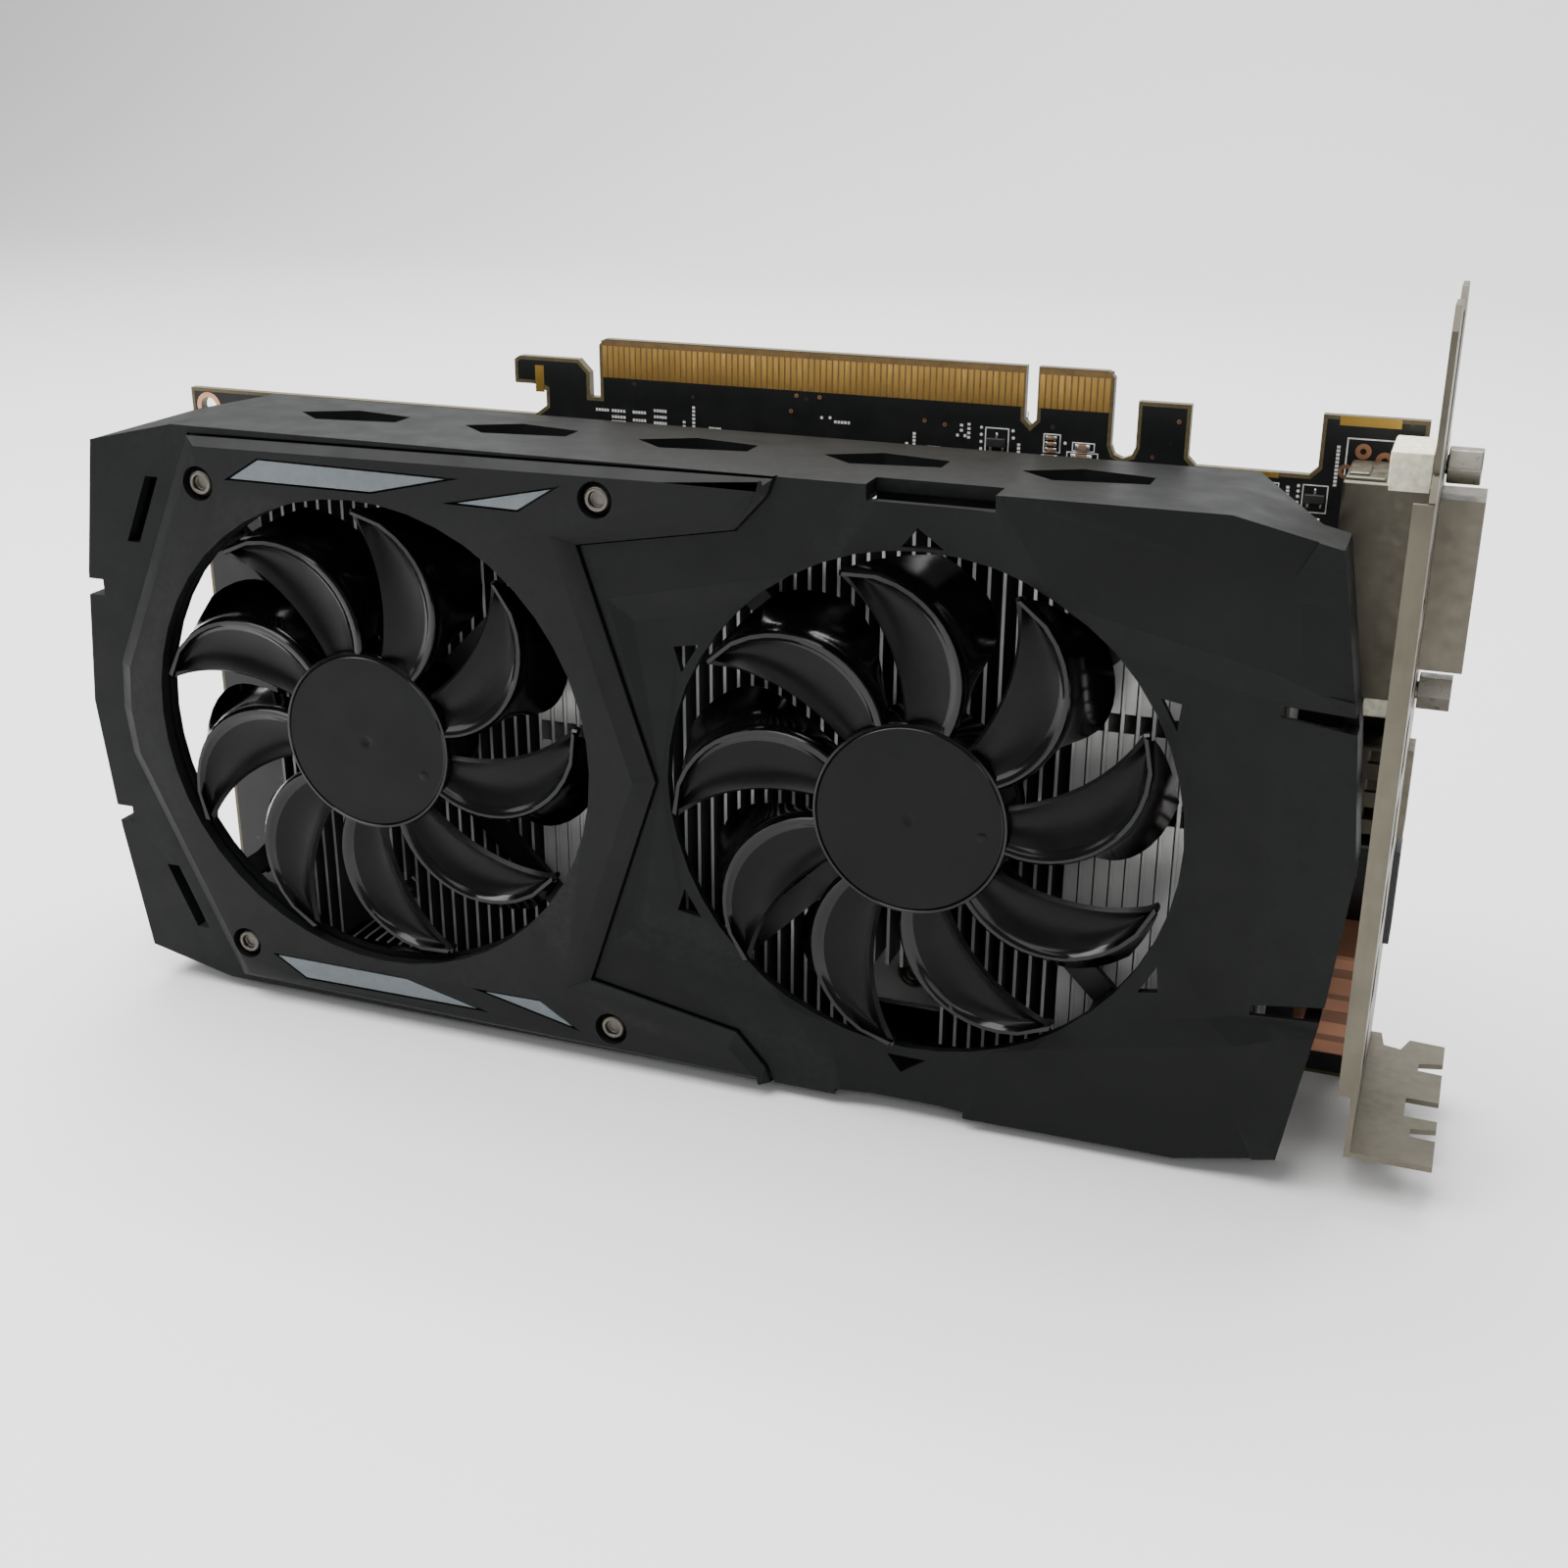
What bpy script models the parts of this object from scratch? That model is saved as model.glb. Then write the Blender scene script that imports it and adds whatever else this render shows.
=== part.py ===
"""Twin-fan graphics card, standing on its long free edge with its edge connector up.

All sizes are in a datum frame: x runs towards the bracket, y towards the back of the board and z up to
the edge connector. Its origin is the middle of the connector's key notch, at the fingers' edge, on the
board's component face. One empty then puts the middle of the card's underside at the world origin.
"""

from math import acos, cos, pi, radians, sin

import bmesh
import bpy
from mathutils import Vector

MM = 0.001
GAP = 0.3 * MM                      # clearance between pieces that touch
THROUGH = 2 * MM                    # how far a cutter runs past the wall it cuts

# Printed circuit board
BOARD_LENGTH = 212.2 * MM
BOARD_RIGHT = 58.2 * MM
BOARD_LEFT = BOARD_RIGHT - BOARD_LENGTH
BOARD_TOP = -13.2 * MM
BOARD_HEIGHT = 98.1 * MM
BOARD_BOTTOM = BOARD_TOP - BOARD_HEIGHT
BOARD_T = 1.6 * MM
KEY_W = 1.9 * MM
KEY_DEPTH = 9.0 * MM
FINGERS_LEFT = -72.6 * MM
FINGERS_RIGHT = 12.6 * MM
TAB_TOP = -4.2 * MM                 # top of the two raised tabs right of the fingers
SCREW_HOLE_R = 1.6 * MM
HEAD_T = 2.0 * MM                   # heads of the screws on the board's back

# Shroud
SHROUD_FRONT = -38.0 * MM
SHROUD_BACK = -9.5 * MM
SHROUD_WALL = 2.0 * MM
SHROUD_TOP = -11.3 * MM
SHROUD_HEIGHT = 97.8 * MM
SHROUD_MIDDLE = SHROUD_TOP - SHROUD_HEIGHT / 2      # height about which the shroud is symmetric
SHROUD_LEFT = BOARD_LEFT + 2.3 * MM
SHROUD_RIGHT = BOARD_RIGHT - 1.1 * MM
LEFT_WALL_DEPTH = 18.0 * MM
RIGHT_WALL_DEPTH = 10.0 * MM
RIGHT_WALL_BACK = SHROUD_FRONT + RIGHT_WALL_DEPTH
VENT_COUNT = 5
VENT_PITCH = 30.1 * MM
VENT_FIRST = SHROUD_LEFT + 35.4 * MM
VENT_SPAN = 18.8 * MM

# Fans
FAN_XS = {"left_fan": SHROUD_LEFT + 55.2 * MM, "right_fan": SHROUD_RIGHT - 62.7 * MM}
FAN_PHASES = {"left_fan": radians(38.5), "right_fan": radians(21.0)}
FAN_Z = SHROUD_MIDDLE + 0.6 * MM
FAN_R = 37.7 * MM
FAN_TIP_GAP = 1.6 * MM
FAN_OPENING_R = FAN_R + FAN_TIP_GAP
BLADES = 9
HUB_R = 15.0 * MM
HUB_FRONT = -SHROUD_FRONT + 2.6 * MM    # fan depths are measured forwards from the board's face
HUB_SKIRT = 10.1 * MM
HUB_WALL = 1.2 * MM
SHAFT_R = 1.0 * MM
SHAFT_LENGTH = 8.6 * MM
BEARING_GAP = 0.4 * MM
BLADE_T = 0.9 * MM
BLADE_DEPTH = 8.0 * MM
ARM_T = 1.3 * MM
ARM_W = 4.0 * MM
ARM_COUNT = 4
POST_INSET = 0.1 * MM               # steps that keep joined faces out of one plane

# Raised front plate with its inlays and screws
PLATE_T = 1.9 * MM
PLATE_POCKET = 0.9 * MM
PLATE_SEAM_X = (FAN_XS["left_fan"] + FAN_XS["right_fan"]) / 2 + 4.45 * MM
INLAY_T = 0.6 * MM
PLATE_SCREW_HEAD_D = 5.0 * MM
PLATE_SCREW_HEAD_T = 1.5 * MM
PLATE_SCREW_D = 2.5 * MM
PLATE_SCREW_LENGTH = 5.0 * MM

# Graphics processor and its neighbours
CHIP_X = -36.0 * MM
CHIP_Z = -60.0 * MM
PACKAGE_SIZE = 40.0 * MM
PACKAGE_T = 1.6 * MM
DIE_SIZE = 20.0 * MM
DIE_T = 0.7 * MM
BASE_SIZE = 66.0 * MM
BASE_T = 3.2 * MM
SPRING_SCREW_PITCH = 58.4 * MM
SPRING_SCREW_D = 2.4 * MM
MEMORY_SIZE = (14.0 * MM, 12.0 * MM)
MEMORY_T = 1.1 * MM
MEMORY_SPACING = 3.0 * MM
CHOKE_SIZE = (7.0 * MM, 7.0 * MM, 4.0 * MM)
CHOKE_PITCH = 10.0 * MM
CAPACITOR_R = 3.6 * MM
CAPACITOR_PITCH = 12.0 * MM
POWER_SOCKET_W = 20.0 * MM
POWER_SOCKET_WALL = 1.2 * MM

# Cooler: pipes on the copper base, fins on the pipes, then room for the fans
PIPE_R = 3.0 * MM
PIPE_BACK = 3 * GAP + PACKAGE_T + DIE_T + BASE_T + 0.4 * MM
PIPE_ZS = (-38.0 * MM, -52.5 * MM, -67.5 * MM, -82.0 * MM)
PIPE_END = 5.6 * MM                 # from a pipe's end to the end of the fins
FIN_BACK = -(PIPE_BACK + 2 * PIPE_R + GAP)
FIN_FRONT = SHROUD_FRONT + 12.0 * MM
FIN_WEB = 1.0 * MM
FIN_PITCH = 2.3 * MM
FIN_T = 0.5 * MM
FIN_LAP = 0.1 * MM                  # how far the web stands out round the fins
FIN_TOP = SHROUD_TOP - 5.2 * MM
FIN_BOTTOM = FIN_TOP - 87.3 * MM
FIN_STACKS = {"left": (FAN_XS["left_fan"] - 27.1 * MM, 29), "right": (FAN_XS["right_fan"] - 46.4 * MM, 43)}
MOTOR_BACK = -FIN_FRONT + 2.6 * MM
CAPACITOR_H = PIPE_BACK - GAP - 0.5 * MM

# Bracket
BRACKET_X = BOARD_RIGHT + 2.0 * MM
BRACKET_T = 0.86 * MM
BRACKET_OUTER = BRACKET_X + BRACKET_T
BRACKET_TOP = 15.9 * MM
BRACKET_HEIGHT = 120.0 * MM
BRACKET_BOTTOM = BRACKET_TOP - BRACKET_HEIGHT
BRACKET_BACK = BOARD_T + 0.8 * MM
BRACKET_W = 38.7 * MM
BRACKET_NEAR = BRACKET_BACK - BRACKET_W
BRACKET_SHOULDER = -4.9 * MM        # height where the two tongues begin
BRACKET_LAP = 0.05 * MM             # how far the tab and flange lie inside the plate
TONGUE_W = 12.0 * MM
TONGUE_PITCH = 20.32 * MM
TAB_LENGTH = 11.4 * MM
FLANGE_W = 2.7 * MM
BRACKET_VENTS = 7
BRACKET_VENT_SIZE = (10.0 * MM, 9.0 * MM)
BRACKET_VENT_PITCH = 12.0 * MM

# Connectors: height from top to bottom, depth from the board's face, and the shell as
# (gap above, gap below, thickness, reach past the bracket)
DVI_Z = (-10.6 * MM, -42.0 * MM)
DVI_DEPTH = 14.0 * MM
DVI_SHELL = (2.0 * MM, 4.6 * MM, 9.4 * MM, 6.0 * MM)
DVI_LENGTH = 12.2 * MM
HDMI_Z = (-51.4 * MM, -65.8 * MM)
HDMI_DEPTH = 7.0 * MM
HDMI_SHELL = (0.2 * MM, 0.2 * MM, 5.9 * MM, 0.9 * MM)
DISPLAYPORT_Z = (-67.4 * MM, -83.6 * MM)
DISPLAYPORT_DEPTH = 7.4 * MM
DISPLAYPORT_SHELL = (0.4 * MM, 0.4 * MM, 6.1 * MM, 0.9 * MM)
SMALL_PORT_LENGTH = 13.2 * MM
SHELL_WALL = 0.7 * MM
PORT_SHIELD_Z = (-79.4 * MM, -95.7 * MM)
PORT_SHIELD_LENGTH = 10.2 * MM
JACKSCREW_Y = -8.0 * MM
JACKSCREW_ZS = {"upper": DVI_Z[0] + 2.1 * MM, "lower": DVI_Z[1] + 0.4 * MM}
JACKSCREW_HEAD_R = 2.75 * MM
JACKSCREW_HEAD_T = 4.6 * MM


def clear_scene():
    for obj in list(bpy.data.objects):
        bpy.data.objects.remove(obj, do_unlink=True)


def new_collection(name):
    collection = bpy.data.collections.new(name)
    bpy.context.scene.collection.children.link(collection)
    return collection


clear_scene()
PARTS = new_collection("graphics_card")
CUTTERS = new_collection("cutters")
CUTTERS.hide_render = True

DATUM = bpy.data.objects.new("card_datum", None)
PARTS.objects.link(DATUM)
DATUM.location = (
    -(BOARD_LEFT + BRACKET_OUTER + TAB_LENGTH) / 2,
    (HUB_FRONT - BOARD_T - GAP - HEAD_T) / 2,
    -BOARD_BOTTOM,
)

FACING_FRONT = (pi / 2, 0, 0)       # local x, y, z become x, z, -y
FACING_BRACKET = (pi / 2, 0, pi / 2)    # local x, y, z become y, z, x
ALONG_X = (0, pi / 2, 0)            # a cylinder's axis along x
FACING_UP = (0, 0, 0)


def material(name, colour, roughness, metallic=0.0):
    """A Principled material of one linear colour."""
    made = bpy.data.materials.new(name)
    made.use_nodes = True
    shader = made.node_tree.nodes["Principled BSDF"]
    shader.inputs["Base Color"].default_value = (*colour, 1)
    shader.inputs["Roughness"].default_value = roughness
    shader.inputs["Metallic"].default_value = metallic
    return made


BOARD_BLACK = material("board_black", (0.012, 0.013, 0.014), 0.45)
SHROUD_BLACK = material("shroud_black", (0.028, 0.030, 0.028), 0.55)
PLATE_BLACK = material("plate_black", (0.030, 0.032, 0.030), 0.5)
INLAY_GREY = material("inlay_grey", (0.17, 0.20, 0.21), 0.4, 0.6)
FAN_BLACK = material("fan_black", (0.012, 0.012, 0.013), 0.15)
MOTOR_BLACK = material("motor_black", (0.02, 0.02, 0.02), 0.5)
FIN_METAL = material("fin_metal", (0.50, 0.50, 0.48), 0.35, 1.0)
COPPER = material("copper", (0.60, 0.32, 0.18), 0.3, 1.0)
STEEL = material("steel", (0.55, 0.53, 0.49), 0.35, 1.0)
SCREW_STEEL = material("screw_steel", (0.40, 0.40, 0.40), 0.3, 1.0)
CHIP_BLACK = material("chip_black", (0.018, 0.018, 0.019), 0.5)
PACKAGE_GREEN = material("package_green", (0.05, 0.09, 0.05), 0.5)
SILICON = material("silicon", (0.20, 0.21, 0.23), 0.15, 0.5)
SOCKET_BLACK = material("socket_black", (0.015, 0.015, 0.015), 0.5)
PORT_COPPER = material("port_copper", (0.45, 0.22, 0.13), 0.5, 0.4)


def add_object(name, mesh, look, rotation=FACING_UP, location=(0, 0, 0), parent=DATUM):
    """A visible piece when it has a look, otherwise a wire cutter that renders stay free of."""
    obj = bpy.data.objects.new(name, mesh)
    obj.rotation_euler = rotation
    obj.location = location
    obj.parent = parent
    if look is None:
        CUTTERS.objects.link(obj)
        obj.hide_render = True
        obj.display_type = "WIRE"
    else:
        PARTS.objects.link(obj)
        mesh.materials.append(look)
    return obj


def mesh_from(bm, name):
    mesh = bpy.data.meshes.new(name)
    bm.to_mesh(mesh)
    bm.free()
    return mesh


def box(name, low, high, look=None, bevel=0.0, parent=DATUM):
    """A box between two corners, with its origin at its centre."""
    low, high = Vector(low), Vector(high)
    bm = bmesh.new()
    bmesh.ops.create_cube(bm, size=1)
    bmesh.ops.scale(bm, vec=high - low, verts=bm.verts)
    obj = add_object(name, mesh_from(bm, name), look, location=(low + high) / 2, parent=parent)
    if bevel:
        rounding = obj.modifiers.new("edges", "BEVEL")
        rounding.width = bevel
        rounding.segments = 1
    return obj


def cylinder(name, radius, length, rotation, location, look=None, segments=24, parent=DATUM):
    """A cylinder whose axis is its own z, centred on its origin."""
    bm = bmesh.new()
    bmesh.ops.create_cone(
        bm, cap_ends=True, segments=segments, radius1=radius, radius2=radius, depth=length
    )
    obj = add_object(name, mesh_from(bm, name), look, rotation, location, parent)
    shade_round(obj.data)
    return obj


def shade_round(mesh):
    mesh.shade_smooth()
    mesh.set_sharp_from_angle(angle=radians(35))


def mesh_of(obj, name):
    """The evaluated mesh of an object that is then removed, with its loose caps welded on."""
    bpy.context.view_layer.update()
    depsgraph = bpy.context.evaluated_depsgraph_get()
    mesh = bpy.data.meshes.new_from_object(obj.evaluated_get(depsgraph))
    bpy.data.objects.remove(obj)
    bm = bmesh.new()
    bm.from_mesh(mesh)
    bmesh.ops.remove_doubles(bm, verts=bm.verts, dist=0.001 * MM)
    bm.to_mesh(mesh)
    bm.free()
    mesh.name = name
    return mesh


def add_spline(curve, points, cyclic):
    spline = curve.splines.new("POLY")
    spline.points.add(len(points) - 1)
    for point, place in zip(spline.points, points):
        point.co = (*Vector(place).to_3d(), 1)
    spline.use_cyclic_u = cyclic


def slab(name, outlines, low, high, rotation, look=None, parent=DATUM):
    """An outline, and any holes after it, extruded between two depths along its own normal."""
    curve = bpy.data.curves.new(name, "CURVE")
    curve.dimensions = "2D"
    curve.fill_mode = "BOTH"
    curve.extrude = (high - low) / 2
    for outline in outlines:
        add_spline(curve, outline, cyclic=True)
    flat = bpy.data.objects.new(name, curve)
    PARTS.objects.link(flat)
    middle = (low + high) / 2
    location = {FACING_FRONT: (0, -middle, 0), FACING_BRACKET: (middle, 0, 0), FACING_UP: (0, 0, middle)}
    return add_object(name, mesh_of(flat, name), look, rotation, location[rotation], parent)


def turned(name, profile, closed, location, look=None, segments=40, parent=DATUM):
    """A profile of (radius, depth) points, front first, turned about an axis that faces the front."""
    bm = bmesh.new()
    verts = [bm.verts.new((radius, 0, depth)) for radius, depth in profile]
    for first, second in zip(verts, verts[1:]):
        bm.edges.new((first, second))
    if closed:
        bm.edges.new((verts[-1], verts[0]))
    obj = add_object(name, mesh_from(bm, name), look, FACING_FRONT, location, parent)
    screw = obj.modifiers.new("turn", "SCREW")
    screw.axis = "Z"
    screw.steps = screw.render_steps = segments
    screw.use_merge_vertices = True
    screw.merge_threshold = 0.01 * MM
    screw.use_smooth_shade = True
    return obj


def cut(obj, *tools):
    boolean(obj, "DIFFERENCE", tools)


def join(obj, *tools):
    boolean(obj, "UNION", tools)


def boolean(obj, operation, tools):
    for tool in tools:
        step = obj.modifiers.new(operation.lower(), "BOOLEAN")
        step.operation = operation
        step.object = tool
        step.solver = "EXACT"


def circle(x, y, radius, segments=24):
    return [
        (x + radius * cos(2 * pi * step / segments), y + radius * sin(2 * pi * step / segments))
        for step in range(segments)
    ]


def rectangle(x0, y0, x1, y1):
    return [(x0, y0), (x1, y0), (x1, y1), (x0, y1)]


def flipped(points):
    """An outline mirrored about the shroud's middle height."""
    return [(x, 2 * SHROUD_MIDDLE - z) for x, z in points]


def inset(points, distance):
    """A clockwise outline moved inwards by one distance on every side."""
    moved = []
    for before, here, after in zip(points[-1:] + points[:-1], points, points[1:] + points[:1]):
        along = (Vector(here) - Vector(before)).normalized()
        onward = (Vector(after) - Vector(here)).normalized()
        bisector = (along + onward).normalized()
        inward = Vector((bisector.y, -bisector.x))
        moved.append(tuple(Vector(here) + inward * distance / inward.dot(Vector((along.y, -along.x)))))
    return moved


# ---------------------------------------------------------------- board and its components


def board_outline():
    """Clockwise from the top left: hook, fingers, key notch, small tab and bracket tab."""
    hook_left = FINGERS_LEFT - 15.7 * MM
    hook_right = FINGERS_LEFT - 1.9 * MM
    hook_top = -3.6 * MM
    slot_bottom = -9.6 * MM
    chamfer = 1.0 * MM
    corner = 1.2 * MM
    key = KEY_W / 2
    slot_r = 1.9 * MM
    slot_middle = FINGERS_RIGHT + slot_r
    slot_end = -11.1 * MM
    tab_left = BOARD_RIGHT - 14.9 * MM
    slot = [
        (slot_middle - slot_r * cos(turn), slot_end - slot_r * sin(turn))
        for turn in (0, pi / 4, pi / 2, 3 * pi / 4, pi)
    ]
    return [
        (BOARD_LEFT, BOARD_TOP),
        (hook_left + 3.5 * MM, BOARD_TOP),
        (hook_left + 5.7 * MM, BOARD_TOP + 1.6 * MM),
        (hook_left + 5.7 * MM, -8.9 * MM),
        (hook_left + 3.5 * MM, -8.1 * MM),
        (hook_left, -8.1 * MM),
        (hook_left, hook_top - 0.6 * MM),
        (hook_left + 1.0 * MM, hook_top),
        (hook_right - 2.0 * MM, hook_top),
        (hook_right, hook_top - 2.0 * MM),
        (hook_right, slot_bottom),
        (FINGERS_LEFT, slot_bottom),
        (FINGERS_LEFT, -chamfer),
        (FINGERS_LEFT + chamfer, 0),
        (-key, 0),
        (-key, -KEY_DEPTH + key),
        (0, -KEY_DEPTH),
        (key, -KEY_DEPTH + key),
        (key, 0),
        (FINGERS_RIGHT - chamfer, 0),
        (FINGERS_RIGHT, -chamfer),
        *slot,
        (slot_middle + slot_r, TAB_TOP),
        (slot_middle + 9.8 * MM, TAB_TOP),
        (slot_middle + 9.8 * MM, BOARD_TOP + corner),
        (slot_middle + 9.8 * MM + corner, BOARD_TOP),
        (tab_left - corner, BOARD_TOP),
        (tab_left, BOARD_TOP + corner),
        (tab_left, TAB_TOP),
        (BOARD_RIGHT, TAB_TOP),
        (BOARD_RIGHT, BOARD_BOTTOM),
        (BOARD_LEFT, BOARD_BOTTOM),
    ]


MOUNT_HOLE = (BOARD_LEFT + 3.5 * MM, BOARD_TOP - 3.2 * MM)
BRACKET_SCREW = (BRACKET_X - 6.5 * MM, BRACKET_BOTTOM + 3.5 * MM)
SPRING_SCREWS = [
    (CHIP_X + side * SPRING_SCREW_PITCH / 2, CHIP_Z + level * SPRING_SCREW_PITCH / 2)
    for side in (-1, 1)
    for level in (-1, 1)
]


def build_board():
    holes = [circle(*MOUNT_HOLE, SCREW_HOLE_R, 16), circle(*BRACKET_SCREW, SCREW_HOLE_R, 16)]
    holes += [circle(x, z, SCREW_HOLE_R, 16) for x, z in SPRING_SCREWS]
    slab("printed_circuit_board", [board_outline(), *holes], -BOARD_T, 0, FACING_FRONT, BOARD_BLACK)


def component(name, centre_x, centre_z, size_x, size_z, height, look, base=GAP, bevel=0.0):
    """A block on the board's component face, its base a given depth in front of it."""
    half_x, half_z = size_x / 2, size_z / 2
    low = (centre_x - half_x, -base - height, centre_z - half_z)
    high = (centre_x + half_x, -base, centre_z + half_z)
    return box(name, low, high, look, bevel)


def build_chips():
    component("gpu_package", CHIP_X, CHIP_Z, PACKAGE_SIZE, PACKAGE_SIZE, PACKAGE_T, PACKAGE_GREEN)
    die_base = 2 * GAP + PACKAGE_T
    component("gpu_die", CHIP_X, CHIP_Z, DIE_SIZE, DIE_SIZE, DIE_T, SILICON, die_base)
    across, tall = MEMORY_SIZE
    reach = PACKAGE_SIZE / 2 + 5 * MM
    step = tall + MEMORY_SPACING
    for side in (-1, 1):
        for row in (-1, 0, 1):
            number = 3 * (side + 1) // 2 + row + 2
            x = CHIP_X + side * (reach + across / 2)
            component(
                f"memory_chip_{number}", x, CHIP_Z + row * step, across, tall, MEMORY_T, CHIP_BLACK
            )
    for side in (-1, 1):
        x = CHIP_X + side * step / 2
        z = CHIP_Z + reach + across / 2
        component(f"memory_chip_{7 + (side + 1) // 2}", x, z, tall, across, MEMORY_T, CHIP_BLACK)


def build_power_stage():
    """Chokes in a column left of the memory, polymer capacitors beyond them, and the supply socket."""
    choke_x = CHIP_X - 52 * MM
    for row in range(6):
        z = CHIP_Z + 26 * MM - row * CHOKE_PITCH
        component(f"power_choke_{row + 1}", choke_x, z, *CHOKE_SIZE, MOTOR_BLACK, bevel=0.6 * MM)
    capacitor_x = choke_x - 14 * MM
    for row in range(4):
        z = CHIP_Z + 21 * MM - row * CAPACITOR_PITCH
        place = (capacitor_x, -GAP - CAPACITOR_H / 2, z)
        cylinder(f"capacitor_{row + 1}", CAPACITOR_R, CAPACITOR_H, FACING_FRONT, place, SCREW_STEEL, 20)
    left = BOARD_LEFT + 26 * MM
    low = (left, SHROUD_BACK + 0.4 * MM, BOARD_BOTTOM + 0.8 * MM)
    high = (left + POWER_SOCKET_W, -GAP, BOARD_BOTTOM + 20 * MM)
    socket = box("power_socket", low, high, SOCKET_BLACK)
    mouth_low = (low[0] + POWER_SOCKET_WALL, low[1] + POWER_SOCKET_WALL, low[2] - THROUGH)
    mouth_high = (high[0] - POWER_SOCKET_WALL, high[1] - POWER_SOCKET_WALL, low[2] + 11 * MM)
    cut(socket, box("power_socket_mouth", mouth_low, mouth_high))
    header_x = FAN_XS["right_fan"] + 25.6 * MM
    component("fan_header", header_x, SHROUD_TOP - 12.7 * MM, 8 * MM, 5 * MM, 5 * MM, SOCKET_BLACK)


# ---------------------------------------------------------------- cooler


HEATSINK_SCREWS = {
    "left": (FAN_XS["left_fan"] - 9.5 * MM, FIN_BOTTOM + 6.7 * MM),
    "right": (FAN_XS["right_fan"] - 5.7 * MM, FIN_BOTTOM + 6.2 * MM),
}
SCREW_POCKET = 6.4 * MM             # half width of the fin-free pocket around a cooler screw
COOLER_SCREW = (2.8 * MM, 1.6 * MM, 1.25 * MM, 5.0 * MM)     # head, then shank: radius and length


def stack_end(side):
    x, fins = FIN_STACKS[side]
    return x + (fins - 1) * FIN_PITCH + FIN_T + 2 * FIN_LAP


def build_fins():
    web_front = FIN_BACK - FIN_WEB
    for side, (x, fins) in FIN_STACKS.items():
        right = stack_end(side)
        stack = box(
            f"fin_stack_{side}", (x, web_front, FIN_BOTTOM), (right, FIN_BACK, FIN_TOP), FIN_METAL
        )
        root = web_front + FIN_WEB / 2
        row_low = (x + FIN_LAP, FIN_FRONT, FIN_BOTTOM + FIN_LAP)
        row = box(f"fins_{side}", row_low, (x + FIN_LAP + FIN_T, root, FIN_TOP - FIN_LAP))
        repeat = row.modifiers.new("fins", "ARRAY")
        repeat.count = fins
        repeat.use_relative_offset = False
        repeat.use_constant_offset = True
        repeat.constant_offset_displace = (FIN_PITCH, 0, 0)
        join(stack, row)
        screw_x, screw_z = HEATSINK_SCREWS[side]
        low = (screw_x - SCREW_POCKET, FIN_FRONT - THROUGH, screw_z - SCREW_POCKET)
        high = (screw_x + SCREW_POCKET, web_front + FIN_LAP, screw_z + SCREW_POCKET)
        cut(stack, box(f"fin_pocket_{side}", low, high))
        hole = cylinder(
            f"fin_hole_{side}", SCREW_HOLE_R, 6 * MM, FACING_FRONT, (screw_x, web_front, screw_z)
        )
        cut(stack, hole)
        cap_screw(f"cooler_screw_{side}", screw_x, screw_z, -web_front + GAP, *COOLER_SCREW)


def cap_screw(name, x, z, seat, head_r, head_t, shank_r, shank, look=SCREW_STEEL):
    """A screw facing the front: domed socket head on a seat at a given depth, shank behind it."""
    socket_r = head_r * 0.5
    top = seat + head_t
    profile = [
        (0, top - 0.6 * head_t),
        (socket_r, top - 0.6 * head_t),
        (socket_r, top),
        (head_r * 0.72, top),
        (head_r, seat + 0.35 * head_t),
        (head_r, seat),
        (shank_r, seat),
        (shank_r, seat - shank),
        (0, seat - shank),
    ]
    return turned(name, profile, False, (x, 0, z), look, 18)


def build_heat_pipes():
    pipe_y = -(PIPE_BACK + PIPE_R)
    left = FIN_STACKS["left"][0] + PIPE_END
    right = stack_end("right") - PIPE_END / 2
    for number, z in enumerate(PIPE_ZS, 1):
        curve = bpy.data.curves.new(f"heat_pipe_{number}", "CURVE")
        curve.dimensions = "3D"
        curve.bevel_depth = PIPE_R
        curve.bevel_resolution = 2
        curve.use_fill_caps = True
        add_spline(curve, [(left, pipe_y, z), (right, pipe_y, z)], cyclic=False)
        pipe = bpy.data.objects.new(f"heat_pipe_{number}", curve)
        PARTS.objects.link(pipe)
        pipe.parent = DATUM
        curve.materials.append(COPPER)


def build_cooler_base():
    """Copper plate on the die, pulled down by four spring screws from the board's back."""
    base_back = 3 * GAP + PACKAGE_T + DIE_T
    base = component(
        "cooler_base", CHIP_X, CHIP_Z, BASE_SIZE, BASE_SIZE, BASE_T, COPPER, base_back, 0.5 * MM
    )
    radius = SPRING_SCREW_D / 2
    head_r = 2.6 * MM
    head_seat = -(BOARD_T + GAP)
    tip = base_back + BASE_T - 2 * GAP
    for number, (x, z) in enumerate(SPRING_SCREWS, 1):
        profile = [
            (0, tip),
            (radius, tip),
            (radius, head_seat),
            (head_r, head_seat),
            (head_r, head_seat - HEAD_T),
            (0, head_seat - HEAD_T),
        ]
        turned(f"spring_screw_{number}", profile, False, (x, 0, z), SCREW_STEEL, 16)
        hole = cylinder(
            f"base_hole_{number}", radius + GAP, 3 * BASE_T, FACING_FRONT, (x, -base_back, z), segments=16
        )
        cut(base, hole)


# ---------------------------------------------------------------- fans


def blade_angles(radius):
    """Angles of a blade's leading edge, crest and trailing edge at one radius, from its root."""
    along = (radius - HUB_R) / (FAN_R - HUB_R)
    lead = -radians(25 + 13.5 * max(along, 0) ** 1.6)
    crest_centre = 0.594 * FAN_R
    crest_r = 0.414 * FAN_R
    cosine = (radius**2 + crest_centre**2 - crest_r**2) / (2 * radius * crest_centre)
    crest = acos(min(cosine, 1)) - radians(44)
    widest = 0.53
    if along < widest:
        trail = -radians(2 + 7 * ((widest - along) / widest) ** 2)
    else:
        trail = -radians(2 + 18 * ((along - widest) / (1 - widest)) ** 2.2)
    return lead, crest, trail


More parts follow.
